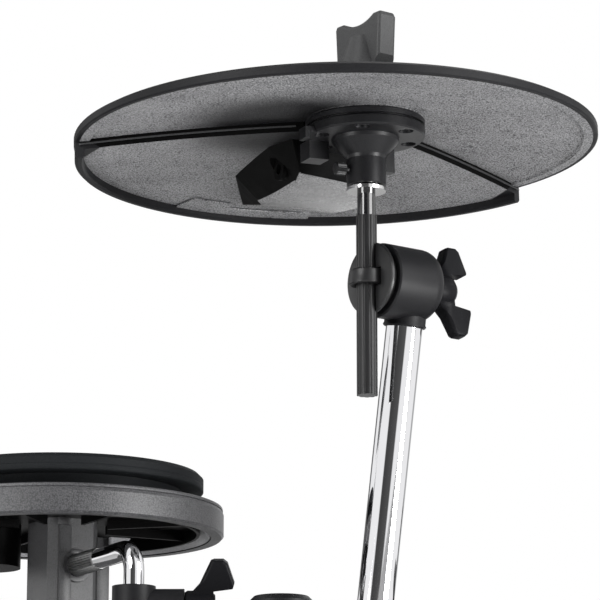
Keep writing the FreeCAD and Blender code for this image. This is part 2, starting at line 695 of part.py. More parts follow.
plate = new_body("plate_form")
turned(plate, [(0, "-dims.plate_low"), ("dims.plate_rad - 1", "-dims.plate_low"),
               ("dims.plate_rad", "1 - dims.plate_low"), ("dims.plate_rad", "-dims.plate_top - 0.8"),
               ("dims.plate_rad - 0.8", "-dims.plate_top"), ("dims.plate_rad - 2", "-dims.plate_top"),
               ("dims.plate_rad - 2", "0.9 - dims.plate_top"), ("dims.plate_rad", "0.9 - dims.plate_top"),
               ("dims.plate_rad", "-dims.seat_low - 1"), ("dims.plate_rad - 1", "-dims.seat_low - dims.fit"),
               (0, "-dims.seat_low - dims.fit")])
screw_hole = bore(plate, (29.0, 0, "-dims.plate_low - 1"), "z", 2.05, 20.0)
sink = bore(plate, (29.0, 0, "-dims.plate_low - 1"), "z", 4.6, 4.5)
around(plate, [screw_hole, sink], 6)
bore(plate, (0, 0, -40.0), "z", hole, 60.0)
add_box(plate, (-31.0, 13.0, "-dims.plate_low - 11"), 13.0, 13.0, 11.5)
add_box(plate, ("-dims.plate_rad - 6", -5.0, "-dims.plate_low"), 9.0, 9.0, 3.0)
add_box(plate, ("-dims.plate_rad - 6", -5.0, "-dims.plate_low - 4"), 3.0, 9.0, 5.0)

plate_screws = new_body("plate_screw_form")
add_rod(plate_screws, (29.0, 0, "-dims.plate_low + 1.6"), "z", 4.0, 1.85)
add_rod(plate_screws, (29.0, 0, "-dims.plate_low + 1.6"), "z", 2.0, 8.8)

cup = new_body("cup_form")
cup_top = "-dims.plate_low - dims.fit"
turned(cup, [("dims.ball_rad + dims.play", cup_top), (20.5, cup_top), ("20", "-dims.plate_low - 2.2"),
             ("dims.cup_rad + 0.6", "-dims.plate_low - 11"), ("dims.cup_rad", "-dims.plate_low - 13"),
             ("dims.cup_rad", "-dims.cup_low"), ("dims.ball_rad + dims.play", "-dims.cup_low")])
add_box(cup, ("dims.cup_rad - 1", -3.0, "-dims.cup_low + 9"), 7.0, 6.0, 17.0)
bore(cup, (0, 0, "-dims.cup_low - 1"), "z", "dims.ball_rad + dims.play", 60.0)
bore(cup, ("-dims.cup_rad - 5", 0, "-dims.plate_low - 20"), "x", "2.2 + dims.fit", 8.0)

thumb = new_body("thumb_form")
add_rod(thumb, ("-dims.cup_rad - 11", 0, "-dims.plate_low - 20"), "x", 4.6, 10.5)
add_rod(thumb, ("-dims.cup_rad - 2", 0, "-dims.plate_low - 20"), "x", 2.2, 4.0)

piezo = new_body("piezo_form")
add_rod(piezo, (0, "dims.pad_offset + 30", "dims.pan_rise - 3.1 + dims.fit"), "z", 13.5, 2.4)

# Drum pad: rubber head, sensor plate, shell, clamp block, jack and bent rod
drum_head = new_body("drum_head_form")
skirt = "dims.head_rad"
inside = "(dims.head_rad - dims.head_neck - dims.neck_wall)"
neck = skirt + " - dims.head_neck"
turned(drum_head, [(inside, "dims.drum_rim"), (neck, "dims.drum_rim"), (neck, "dims.head_top - 10.6"),
                   (skirt + " - 1", "dims.head_top - 7.5"), (skirt, "dims.head_top - 6.5"),
                   (skirt, "dims.head_top - 2.5"), (skirt + " - 2.5", "dims.head_top"), (0, "dims.head_top + 1"),
                   (0, "dims.head_top - 10"), (inside, "dims.head_top - 10")])

sensor = new_body("sensor_form")
under = "dims.head_top - 10 - dims.fit"
disc_edge = inside + " - 0.5"
turned(sensor, [(0, "dims.head_top - 11.6"), (disc_edge, "dims.head_top - 11.6"), (disc_edge, under),
                (0, under)])
add_rod(sensor, (0, 0, "dims.well_top + dims.fit"), "z", 13.0, "dims.head_top - 11.5 - dims.well_top")

shell = new_body("shell_form")
rim = "dims.drum_rad"
turned(shell, [(0, "dims.well_low"), (rim + " - 12.5", "dims.well_low"), (rim + " - 8", 0),
               (rim + " - 1.4", 0), (rim, 1.4), (rim, "dims.drum_rim - 3"), (rim + " - 0.9", "dims.drum_rim - 0.9"),
               (rim + " - 3", "dims.drum_rim"), (inside + " - 2", "dims.drum_rim"),
               (inside + " - 2", "dims.drum_rim - 3.5"), (rim + " - 6.5", "dims.drum_rim - 3.5"),
               (rim + " - 6.5", "dims.well_top"), (0, "dims.well_top")])
ring = rim + " - 17"
ring_top = "dims.well_low + 1"
turned(shell, [(ring, 2), (ring + " + 2", 2), (ring + " + 2", ring_top), (ring, ring_top)])
rib = add_box(shell, (30.0, -1.2, 4.0), "dims.drum_rad - 46", 2.4, "dims.well_low - 3")
around(shell, [rib], 8)
bore(shell, (-38.0, 30.0, -10.0), "z", "21 + dims.fit", "10 + dims.well_low")

jack_level = -9.0
jack_pod = new_body("jack_pod_form")
add_rod(jack_pod, (-38.0, 30.0, -18.0), "z", 21.0, "18 + dims.well_low - dims.fit")
bore(jack_pod, (-68.0, 30.0, jack_level), "x", "5.5 + dims.fit", 26.0)

drum_jack = new_body("drum_jack_form")
add_rod(drum_jack, (-61.4, 30.0, jack_level), "x", 5.5, 19.0)
add_rod(drum_jack, (-61.4, 30.0, jack_level), "x", 7.5, 2.3)
bore(drum_jack, (-62.0, 30.0, jack_level), "x", 3.25, 16.0)

clamp_block = new_body("clamp_block_form")
half = "dims.block_half"
deep = "dims.block_deep"
bevel = "dims.block_bevel"
side = "(%s - %s)" % (half, bevel)
end = "(%s - %s)" % (deep, bevel)
block_plan = [("-" + side, "-" + deep), (side, "-" + deep), (half, "-" + end), (half, end), (side, deep),
              ("-" + side, deep), ("-" + half, end), ("-" + half, "-" + end)]
feature(clamp_block, "Pad", outline(clamp_block, "XY", block_plan, "-dims.block_low"),
        Length="dims.block_low + dims.well_low - dims.fit")
bore(clamp_block, (0, "-dims.block_deep - 1", "-dims.leg_drop"), "y", "dims.rod_dia / 2 + dims.play", 100.0)
bore(clamp_block, (0, 0, "-dims.block_low - 1"), "z", "dims.screw_rad + dims.play",
     "dims.block_low - dims.leg_drop")

block_screw = wing_screw("block_screw_form", "dims.block_low - dims.leg_drop - dims.rod_dia / 2 - 0.5")

bend_way = FreeCAD.Rotation(vec(0, -1, 0), vec(0, 0, 1), vec(-1, 0, 0), "XYZ")
directions["bend"] = bend_way


# Rod bent through a right angle, upright leg down and level leg along y
def bent_rod(label, reach):
    body = new_body(label)
    add_rod(body, (0, 0, "-dims.rod_tail"), "z", "dims.rod_dia / 2", "dims.rod_tail - dims.bend_rad")
    block(body, "AdditiveTorus", (0, "dims.bend_rad", "-dims.bend_rad"), "bend", Radius1="dims.bend_rad",
          Radius2="dims.rod_dia / 2", Angle3=90.0)
    level_length = reach + " + dims.block_deep - dims.bend_rad + 8"
    add_rod(body, (0, "dims.bend_rad", 0), "y", "dims.rod_dia / 2", level_length)
    return body


# Put the crash station together piece by piece and copy it for the others
def cymbal_places(name, height):
    arm = stations[name] * lean * placed(0, size("dims.rod_offset"), 0)
    head_at = arm * placed(z=height)
    level = FreeCAD.Placement(head_at.Base, stations[name].Rotation)
    rod_at = level * placed(-size("dims.eye_offset"))
    ball_at = rod_at * placed(z=size(ball_level), yaw=-size("dims.pad_turn"))
    rolled = ball_at * tilted(vec(0, 1, 0), -size("dims.pad_roll"))
    pad_at = rolled * placed(z=size("dims.pad_level - (%s)" % ball_level))
    nut_seat = head_at * placed(size("dims.tilter_right + dims.play"))
    nut_at = nut_seat * across * placed(yaw=size("dims.tilter_nut_turn"))
    return arm, head_at, level, rod_at, pad_at, nut_at


tail = placed(z=-size("dims.arm_tail"))
pad_pieces = {
    "cover": cover, "base": base, "tray": tray, "pod": pod, "jack": jack, "plate": plate, "cup": cup,
    "thumb_screw": thumb, "piezo": piezo,
}
turns = [placed(yaw=60 * count) for count in range(6)]
for name in arms:
    height = name + "_arm"
    arm_tube = tube(name + "_tube_form", "dims.arm_dia", "dims.arm_wall",
                    "dims.arm_tail + dims.%s - dims.tilter_rad + 5.5" % height)
    arm, head_at, level, rod_at, pad_at, nut_at = cymbal_places(name, size("dims." + height))
    fixings = [copy_of(plate_screws, pad_at * turn) for turn in turns]
    nut_turned = rod_at * placed(yaw=size("dims.nut_turn"))
    if name == "crash":
        node("crash_arm_tube", arm_tube, arm * tail)
        node("crash_tilter", tilter, head_at)
        node("crash_tilter_nut", wing_nut, nut_at)
        node("crash_eye_bolt", eye, level)
        node("crash_grip_disc", disc, level)
        node("crash_rod", rod, rod_at)
        node("crash_seat", seat_form, rod_at)
        node("crash_felt", felt, rod_at)
        node("crash_top_nut", top_nut, nut_turned)
        for label, piece in pad_pieces.items():
            node("crash_" + label, piece, pad_at)
        group("crash_plate_screws", fixings)
        continue
    pieces = [arm_tube, copy_of(tilter, head_at), copy_of(wing_nut, nut_at)]
    arm_tube.Placement = arm * tail
    group(name + "_arm", pieces)
    pieces = [copy_of(piece, level) for piece in (eye, disc)]
    pieces += [copy_of(piece, rod_at) for piece in (rod, seat_form, felt)]
    pieces.append(copy_of(top_nut, nut_turned))
    group(name + "_rod", pieces)
    pieces = [copy_of(piece, pad_at) for piece in pad_pieces.values()]
    group(name + "_pad", pieces + fixings)

drum_pieces = {"head": drum_head, "sensor": sensor, "jack": drum_jack, "block": clamp_block}
reaches = {"tom1": "leg_reach", "tom2": "leg_reach", "snare": "snare_reach", "tom3": "floor_reach"}
for name in drums:
    level = "leg_level" if name in ("tom1", "tom2") else "low_leg_level"
    reach = "dims." + reaches[name]
    bent = bent_rod(name + "_rod_form", reach)
    knee = stations[name] * placed(0, size("dims.rod_offset"), size("dims." + level), size("dims.leg_turn"))
    pad_at = knee * placed(0, size(reach), size("dims.leg_drop"))
    flip = tilted(vec(1, 0, 0), 180)
    screw_seat = pad_at * placed(z=-size("dims.block_low + dims.play")) * flip
    node(name + "_rod", bent, knee)
    if name == "tom1":
        for label, piece in drum_pieces.items():
            node("tom1_" + label, piece, pad_at)
        group("tom1_shell", [copy_of(shell, pad_at), copy_of(jack_pod, pad_at)])
        node("tom1_block_screw", block_screw, screw_seat)
        continue
    pieces = [copy_of(piece, pad_at) for piece in list(drum_pieces.values()) + [shell, jack_pod]]
    group(name + "_pad", pieces + [copy_of(block_screw, screw_seat)])

# Sound module: case, bottom, board, screen, knobs and buttons on a stalk
knuckle = 18.0
module_at = stations["module"] * placed(0, size("dims.rod_offset"), size("dims.module_level"))
module_at = module_at * tilted(vec(1, 0, 0), -size("dims.module_tilt")) * placed(z=knuckle)
half_x = "dims.case_wide / 2"
half_y = "dims.case_deep / 2"
wall = "dims.case_wall"
case = new_body("module_case")
add_box(case, ("-" + half_x, "-" + half_y, 0), "dims.case_wide", "dims.case_deep", "dims.case_high")
round_edges(case, lambda box: box.ZMax - box.ZMin > 20, 14.0)
round_edges(case, lambda box: box.ZMin > size("dims.case_high") - 0.01, 4.0)
cut_box(case, ("%s - %s" % (wall, half_x), "%s - %s" % (wall, half_y), 0),
        "dims.case_wide - 2 * dims.case_wall", "dims.case_deep - 2 * dims.case_wall",
        "dims.case_high - dims.case_wall")
for x, y in ((-1, -1), (1, -1), (-1, 1), (1, 1)):
    spot = ("%d * (%s - 26)" % (x, half_x), "%d * (%s - 21)" % (y, half_y), 21.65)
    add_rod(case, spot, "z", 4.0, "dims.case_high - dims.case_wall - 21")
dial_spot = (58.0, 8.0)
volume_spot = (86.0, -44.0)
button_spots = ((-78.0, 40.0), (-48.0, 40.0), (-18.0, 40.0))
for x, y in (dial_spot, volume_spot):
    bore(case, (x, y, 30.0), "z", "3 + dims.play", 40.0)
for x, y in button_spots:
    bore(case, (x, y, 30.0), "z", "dims.button_rad + dims.play", 40.0)
cut_box(case, (-90.0, -48.0, "dims.case_high - 1.6"), 96.0, 56.0, 5.0)
for x in (-60.0, -20.0, 20.0, 60.0):
    bore(case, (x, "-%s - 1" % half_y, 14.0), "y", 3.25, 6.0)
node("module_case", case, module_at)

floor = new_body("module_bottom")
add_box(floor, ("-" + half_x, "-" + half_y, -3.0), "dims.case_wide", "dims.case_deep", "3 - dims.fit")
round_edges(floor, lambda box: box.ZMax - box.ZMin > 2, 14.0)
node("module_bottom", floor, module_at)

board = new_body("module_board")
add_box(board, ("20 - " + half_x, "15 - " + half_y, 20.0), "dims.case_wide - 40", "dims.case_deep - 30", 1.6)
node("module_board", board, module_at)

screen = new_body("module_screen")
add_box(screen, (-89.9, -47.9, "dims.case_high - 1.55"), 95.8, 55.8, 1.5)
node("module_screen", screen, module_at)


def knob(label, spot, radius, high):
    body = new_body(label)
    low = "dims.case_high + 0.6"
    turned(body, [(0, low), (radius, low), (radius, "%s + %s - 1.5" % (low, high)),
                  (radius + " - 1.5", "%s + %s" % (low, high)), (0, "%s + %s" % (low, high))])
    add_rod(body, (0, 0, 24.0), "z", 3.0, "dims.case_high - 22")
    node(label, body, module_at * placed(spot[0], spot[1]))


knob("module_dial", dial_spot, "dims.dial_rad", 11)
knob("module_volume", volume_spot, "dims.volume_rad", 14)
for count, spot in enumerate(button_spots, start=1):
    button = new_body("button_form")
    add_rod(button, (0, 0, 24.0), "z", "dims.button_rad", "dims.case_high - 24 + 3")
    add_rod(button, (0, 0, 34.0), "z", "dims.button_rad + 1.5", 4.0)
    node("module_button_%d" % count, button, module_at * placed(spot[0], spot[1]))

stalk = new_body("stalk_form")
add_rod(stalk, (0, 0, -70.0), "z", "dims.rod_dia / 2", "dims.module_level + 70 - 11")
stalk.Placement = stations["module"] * placed(0, size("dims.rod_offset"))
carrier = new_body("carrier_form")
add_box(carrier, (-45.0, -40.0, -8.0), 90.0, 80.0, "5 - dims.fit")
add_rod(carrier, (-20.0, 0, -knuckle), "x", 11.0, 40.0)
carrier.Placement = module_at
group("module_bracket", [stalk, carrier])

# Foot pedals: base plate, heel lugs, pin, front tower and a hinged board
pin_level = 20.0
heel = size("dims.pedal_long / 2 - 18")
plate_thick = 8.0
base_plate = new_body("base_plate_form")
add_box(base_plate, ("-dims.pedal_wide / 2", "-dims.pedal_long / 2", 0), "dims.pedal_wide", "dims.pedal_long",
        "%s - dims.fit" % plate_thick)
tower = new_body("pedal_tower_form")
add_box(tower, ("-dims.pedal_wide / 2", "-dims.pedal_long / 2", plate_thick), "dims.pedal_wide", 16.0, 59.0)
pedal_forms = [base_plate, tower]
for x in ("-dims.pedal_wide / 2", "dims.board_wide / 2 + 0.5"):
    lug = new_body("heel_lug_form")
    add_box(lug, (x, heel - 10, plate_thick), "(dims.pedal_wide - dims.board_wide) / 2 - 0.5", 20.0, 19.0)
    bore(lug, (-60.0, heel, pin_level), "x", "4 + dims.fit", 120.0)
    pedal_forms.append(lug)
pin = new_body("pedal_pin_form")
add_rod(pin, ("-dims.pedal_wide / 2", heel, pin_level), "x", 4.0, "dims.pedal_wide")
foot_board = new_body("foot_board_form")
add_rod(foot_board, ("-dims.board_wide / 2", 0, 0), "x", 8.0, "dims.board_wide")
add_box(foot_board, ("-dims.board_wide / 2", "54 - dims.pedal_long", 0), "dims.board_wide", "dims.pedal_long - 54",
        "dims.board_thick")
bore(foot_board, (-60.0, 0, 0), "x", "4 + dims.play", 120.0)
pedal_places = {
    "kick": kit * placed(0, size("dims.kick_y")),
    "hihat": kit * placed(size("dims.hihat_pedal_x"), size("dims.hihat_pedal_y"), yaw=-20),
}
bases = []
for name, place in pedal_places.items():
    bases += [copy_of(piece, place) for piece in pedal_forms + [pin]]
    raised = place * placed(0, heel, pin_level) * tilted(vec(1, 0, 0), -size("dims.board_angle"))
    if name == "kick":
        node("kick_board", foot_board, raised)
    else:
        group("hihat_board", [copy_of(foot_board, raised)])
group("pedal_bases", bases)

doc.recompute()
faults = []
for item in doc.Objects:
    if "Invalid" in item.State or "Error" in item.State:
        faults.append("%s is %s" % (item.Label, ", ".join(item.State)))
for label, piece in nodes.items():
    if piece.Shape.isNull() or not piece.Shape.isValid() or not piece.Shape.Solids:
        faults.append(label + " has no sound shape")
if faults:
    raise RuntimeError("; ".join(faults))

for label, piece in nodes.items():
    piece.Shape.exportStep("parts/%s.step" % label)
box = FreeCAD.BoundBox()
for piece in nodes.values():
    box.add(piece.Shape.BoundBox)
print("nodes", len(nodes), "box", box)
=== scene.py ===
import bmesh
import bpy
import json
import math
from mathutils import Matrix, Vector


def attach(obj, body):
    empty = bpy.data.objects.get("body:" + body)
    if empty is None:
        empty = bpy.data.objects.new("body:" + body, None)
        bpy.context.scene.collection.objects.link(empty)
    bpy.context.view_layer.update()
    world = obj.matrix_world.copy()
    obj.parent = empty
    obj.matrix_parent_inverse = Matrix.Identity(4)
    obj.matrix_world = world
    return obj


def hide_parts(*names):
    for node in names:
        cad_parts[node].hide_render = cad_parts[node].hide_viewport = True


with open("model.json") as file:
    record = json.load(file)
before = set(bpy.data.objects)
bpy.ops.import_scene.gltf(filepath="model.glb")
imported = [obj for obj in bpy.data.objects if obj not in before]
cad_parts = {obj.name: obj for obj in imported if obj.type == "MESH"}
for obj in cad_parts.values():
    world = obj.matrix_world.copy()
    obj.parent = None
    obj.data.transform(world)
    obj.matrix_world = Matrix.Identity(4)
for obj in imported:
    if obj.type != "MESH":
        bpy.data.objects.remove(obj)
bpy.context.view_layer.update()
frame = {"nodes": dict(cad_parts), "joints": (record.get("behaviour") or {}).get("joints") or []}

nodes = frame["nodes"]
joints = {joint["name"]: joint for joint in frame["joints"]}
scene = bpy.context.scene
scene.view_settings.view_transform = "Standard"
print("kit loaded:", len(nodes), "nodes")


# surface effects, each a node group with a scale and named outputs
def newGroup(name, scale, *outputs):
    group = bpy.data.node_groups.new(name, "ShaderNodeTree")
    socket = group.interface.new_socket("Scale", in_out="INPUT", socket_type="NodeSocketFloat")
    socket.default_value = scale
    for label in outputs:
        group.interface.new_socket(label, in_out="OUTPUT", socket_type="NodeSocketFloat")
    start = group.nodes.new("NodeGroupInput")
    end = group.nodes.new("NodeGroupOutput")
    coords = group.nodes.new("ShaderNodeTexCoord")
    return group, start, end, coords


# maths node with numbers or sockets as its two values
def maths(tree, kind, first, second):
    node = tree.nodes.new("ShaderNodeMath")
    node.operation = kind
    for socket, value in zip(node.inputs, (first, second)):
        if isinstance(value, (int, float)):
            socket.default_value = value
        else:
            tree.links.new(value, socket)
    return node.outputs[0]


# pebbled mould grain: cells with soft edges, broken up by a little noise
pebble = {"scale": 900.0, "soft": 0.35, "rippleScale": 2.2, "rippleDetail": 3.0, "patchScale": 38.0,
          "patchDetail": 4.0, "crown": 0.8, "dip": 0.7, "ripple": 0.35, "middle": 0.645, "contrast": 2.4,
          "blotch": 0.5, "lift": 0.3}


def makePebble():
    group, start, end, coords = newGroup("pebbleGrain", pebble["scale"], "Height", "Tone")
    cells = group.nodes.new("ShaderNodeTexVoronoi")
    cells.feature = "SMOOTH_F1"
    cells.inputs["Smoothness"].default_value = pebble["soft"]
    rough = group.nodes.new("ShaderNodeTexNoise")
    rough.inputs["Detail"].default_value = pebble["rippleDetail"]
    patch = group.nodes.new("ShaderNodeTexNoise")
    patch.inputs["Scale"].default_value = pebble["patchScale"]
    patch.inputs["Detail"].default_value = pebble["patchDetail"]
    for node in (cells, rough, patch):
        group.links.new(coords.outputs["Object"], node.inputs["Vector"])
    group.links.new(start.outputs["Scale"], cells.inputs["Scale"])
    finer = maths(group, "MULTIPLY", start.outputs["Scale"], pebble["rippleScale"])
    group.links.new(finer, rough.inputs["Scale"])
    low = maths(group, "MULTIPLY", cells.outputs["Distance"], pebble["dip"])
    ripple = maths(group, "MULTIPLY", rough.outputs[0], pebble["ripple"])
    height = maths(group, "ADD", maths(group, "SUBTRACT", pebble["crown"], low), ripple)
    blotch = maths(group, "MULTIPLY", patch.outputs[0], pebble["blotch"])
    above = maths(group, "SUBTRACT", height, pebble["middle"])
    speckle = maths(group, "MULTIPLY", above, pebble["contrast"])
    tone = maths(group, "ADD", speckle, maths(group, "ADD", blotch, pebble["lift"]))
    group.links.new(height, end.inputs["Height"])
    group.links.new(tone, end.inputs["Tone"])
    return group


# handling marks: broad smudges and fine hairline scuffs
handling = {"scale": 30.0, "detail": 5.0, "roughness": 0.6, "scuffScale": 14.0, "scuffDetail": 2.0,
            "scuffStretch": (1.0, 1.0, 9.0)}


def makeHandling():
    group, start, end, coords = newGroup("handlingMarks", handling["scale"], "Smudge", "Scuff")
    broad = group.nodes.new("ShaderNodeTexNoise")
    broad.inputs["Detail"].default_value = handling["detail"]
    broad.inputs["Roughness"].default_value = handling["roughness"]
    fine = group.nodes.new("ShaderNodeTexNoise")
    fine.inputs["Detail"].default_value = handling["scuffDetail"]
    stretch = group.nodes.new("ShaderNodeMapping")
    stretch.inputs["Scale"].default_value = handling["scuffStretch"]
    group.links.new(coords.outputs["Object"], broad.inputs["Vector"])
    group.links.new(coords.outputs["Object"], stretch.inputs["Vector"])
    group.links.new(stretch.outputs["Vector"], fine.inputs["Vector"])
    group.links.new(start.outputs["Scale"], broad.inputs["Scale"])
    finer = maths(group, "MULTIPLY", start.outputs["Scale"], handling["scuffScale"])
    group.links.new(finer, fine.inputs["Scale"])
    group.links.new(broad.outputs[0], end.inputs["Smudge"])
    group.links.new(fine.outputs[0], end.inputs["Scuff"])
    return group


pebbleGrain = makePebble()
handlingMarks = makeHandling()

# finishes: colour and its darker patches, roughness range, scale of marks and of mould grain
finishes = {
    "chromeTube": {"colour": (0.86, 0.86, 0.87), "dark": (0.76, 0.76, 0.78), "rough": (0.02, 0.07),
                   "marks": 22.0, "metal": 1.0},
    "clampBlack": {"colour": (0.011, 0.011, 0.012), "dark": (0.006, 0.006, 0.007), "rough": (0.34, 0.46),
                   "marks": 60.0, "grain": 1900.0, "bump": 0.05, "specular": 0.18},
    "gripBlack": {"colour": (0.007, 0.007, 0.008), "dark": (0.004, 0.004, 0.005), "rough": (0.36, 0.48),
                  "marks": 70.0, "grain": 2200.0, "bump": 0.05, "specular": 0.08},
    # near-black plastic of the jack, also used as painted shade on the pod and tray walls and in the socket
    # recess
    "mouldBlack": {"colour": (0.003, 0.003, 0.003), "dark": (0.002, 0.002, 0.002), "rough": (0.50, 0.65),
                   "marks": 60.0, "grain": 1700.0, "bump": 0.05, "specular": 0.04},
    # black plastic painted lighter as painted light: the top nut lit from above, and the light line of the
    # step bead
    "nutGrey": {"colour": (0.045, 0.046, 0.047), "dark": (0.026, 0.026, 0.027), "rough": (0.40, 0.52),
                "marks": 60.0, "grain": 1700.0, "bump": 0.06, "specular": 0.36},
    "blockGrey": {"colour": (0.078, 0.078, 0.080), "dark": (0.046, 0.046, 0.048), "rough": (0.30, 0.42),
                  "marks": 50.0, "grain": 1700.0, "bump": 0.06, "specular": 0.45},
    "sleeveSteel": {"colour": (0.42, 0.42, 0.42), "dark": (0.18, 0.18, 0.18), "rough": (0.30, 0.42),
                    "marks": 160.0, "metal": 1.0},
    "footRubber": {"colour": (0.018, 0.018, 0.018), "dark": (0.010, 0.010, 0.010), "rough": (0.65, 0.8),
                   "marks": 50.0, "grain": 1300.0, "bump": 0.08, "specular": 0.25},
    "plainSteel": {"colour": (0.66, 0.66, 0.67), "dark": (0.46, 0.46, 0.47), "rough": (0.16, 0.30),
                   "marks": 160.0, "metal": 1.0},
    "rodBlack": {"colour": (0.012, 0.012, 0.013), "dark": (0.008, 0.008, 0.008), "rough": (0.28, 0.40),
                 "marks": 80.0, "grain": 2600.0, "bump": 0.02, "specular": 0.36},
    "neckGloss": {"colour": (0.008, 0.008, 0.009), "dark": (0.005, 0.005, 0.006), "rough": (0.05, 0.10),
                  "marks": 80.0, "specular": 0.6, "coat": 0.7},
    "padRubber": {"colour": (0.010, 0.010, 0.011), "dark": (0.006, 0.006, 0.007), "rough": (0.42, 0.56),
                  "marks": 40.0, "grain": 1500.0, "bump": 0.06, "specular": 0.16},
    "headRubber": {"colour": (0.010, 0.011, 0.012), "dark": (0.006, 0.007, 0.008), "rough": (0.60, 0.74),
                   "marks": 34.0, "grain": 1500.0, "bump": 0.07, "specular": 0.11},
    "shellSmooth": {"colour": (0.011, 0.011, 0.012), "dark": (0.006, 0.006, 0.007), "rough": (0.30, 0.42),
                    "marks": 30.0, "grain": 1700.0, "bump": 0.06, "specular": 0.24},
    "podGrain": {"colour": (0.32, 0.32, 0.325), "dark": (0.12, 0.12, 0.123), "rough": (0.22, 0.32),
                 "marks": 30.0, "grain": 1000.0, "bump": 0.10, "specular": 0.6},
    "drumShell": {"colour": (0.068, 0.068, 0.071), "dark": (0.024, 0.024, 0.026), "rough": (0.32, 0.46),
                  "marks": 30.0, "grain": 1050.0, "bump": 0.28, "specular": 0.45},
    "panBlack": {"colour": (0.003, 0.003, 0.003), "dark": (0.002, 0.002, 0.002), "rough": (0.30, 0.44),
                 "marks": 30.0, "grain": 1700.0, "bump": 0.04, "specular": 0.04},
    "chromeSeat": {"colour": (0.80, 0.80, 0.80), "dark": (0.66, 0.66, 0.66), "rough": (0.10, 0.18),
                   "marks": 90.0, "metal": 1.0},
    "feltBlack": {"colour": (0.030, 0.030, 0.031), "dark": (0.012, 0.012, 0.012), "rough": (0.88, 1.0),
                  "marks": 220.0, "grain": 2800.0, "bump": 0.6, "specular": 0.1, "sheen": 0.5},
    "jackMetal": {"colour": (0.62, 0.62, 0.62), "dark": (0.44, 0.44, 0.45), "rough": (0.22, 0.36),
                  "marks": 140.0, "metal": 1.0},
    "piezoBrass": {"colour": (0.72, 0.53, 0.22), "dark": (0.60, 0.42, 0.16), "rough": (0.26, 0.40),
                   "marks": 120.0, "metal": 1.0},
    "caseBlack": {"colour": (0.026, 0.026, 0.028), "dark": (0.016, 0.016, 0.018), "rough": (0.44, 0.56),
                  "marks": 26.0, "grain": 1500.0, "bump": 0.10, "specular": 0.36},
    "boardGreen": {"colour": (0.05, 0.20, 0.08), "dark": (0.03, 0.14, 0.05), "rough": (0.4, 0.5),
                   "marks": 60.0},
    "screenBlack": {"colour": (0.010, 0.011, 0.014), "dark": (0.007, 0.008, 0.010), "rough": (0.05, 0.10),
                    "marks": 18.0, "coat": 0.8},
    "segmentPale": {"colour": (0.45, 0.62, 0.60), "dark": (0.36, 0.52, 0.50), "rough": (0.30, 0.40),
                    "marks": 60.0},
    "knobBlack": {"colour": (0.022, 0.022, 0.023), "dark": (0.013, 0.013, 0.014), "rough": (0.44, 0.56),
                  "marks": 60.0, "grain": 2000.0, "bump": 0.06, "specular": 0.35},
    "buttonGrey": {"colour": (0.30, 0.30, 0.31), "dark": (0.22, 0.22, 0.23), "rough": (0.44, 0.54),
                   "marks": 60.0, "grain": 2200.0, "bump": 0.05},
    # pale grey as painted light: a painted reflection on the ledge inside the drum rim, and painted light on
    # the block tab
    "ribGrey": {"colour": (0.34, 0.34, 0.35), "dark": (0.22, 0.22, 0.23), "rough": (0.16, 0.28),
                "marks": 50.0, "grain": 1600.0, "bump": 0.04},
}


# how marks change the roughness, and the depth of the grain in metres
wear = {"smudge": 0.7, "scuff": 0.3, "least": 0.3, "most": 0.7, "grainDeep": 0.0006}


def mixColour(tree, share, first, second):
    mix = tree.nodes.new("ShaderNodeMix")
    mix.data_type = "RGBA"
    tree.links.new(share, mix.inputs[0])
    for socket, value in zip(mix.inputs[6:8], (first, second)):  # A and B of a colour mix
        if isinstance(value, tuple):
            socket.default_value = (*value, 1)
        else:
            tree.links.new(value, socket)
    return mix.outputs[2]


# painted shade: colour darkened about one spot
def paintShadeColour(tree, colour, paintedShade):
    coords = tree.nodes.new("ShaderNodeTexCoord")
    reach = tree.nodes.new("ShaderNodeVectorMath")
    reach.operation = "DISTANCE"
    reach.inputs[1].default_value = paintedShade["at"]
    tree.links.new(coords.outputs["Object"], reach.inputs[0])
    ease = tree.nodes.new("ShaderNodeMapRange")
    ease.interpolation_type = "SMOOTHSTEP"
    ease.inputs["From Min"].default_value = paintedShade["near"]
    ease.inputs["From Max"].default_value = paintedShade["far"]
    tree.links.new(reach.outputs["Value"], ease.inputs["Value"])
    return mixColour(tree, ease.outputs[0], paintedShade["colour"], colour)


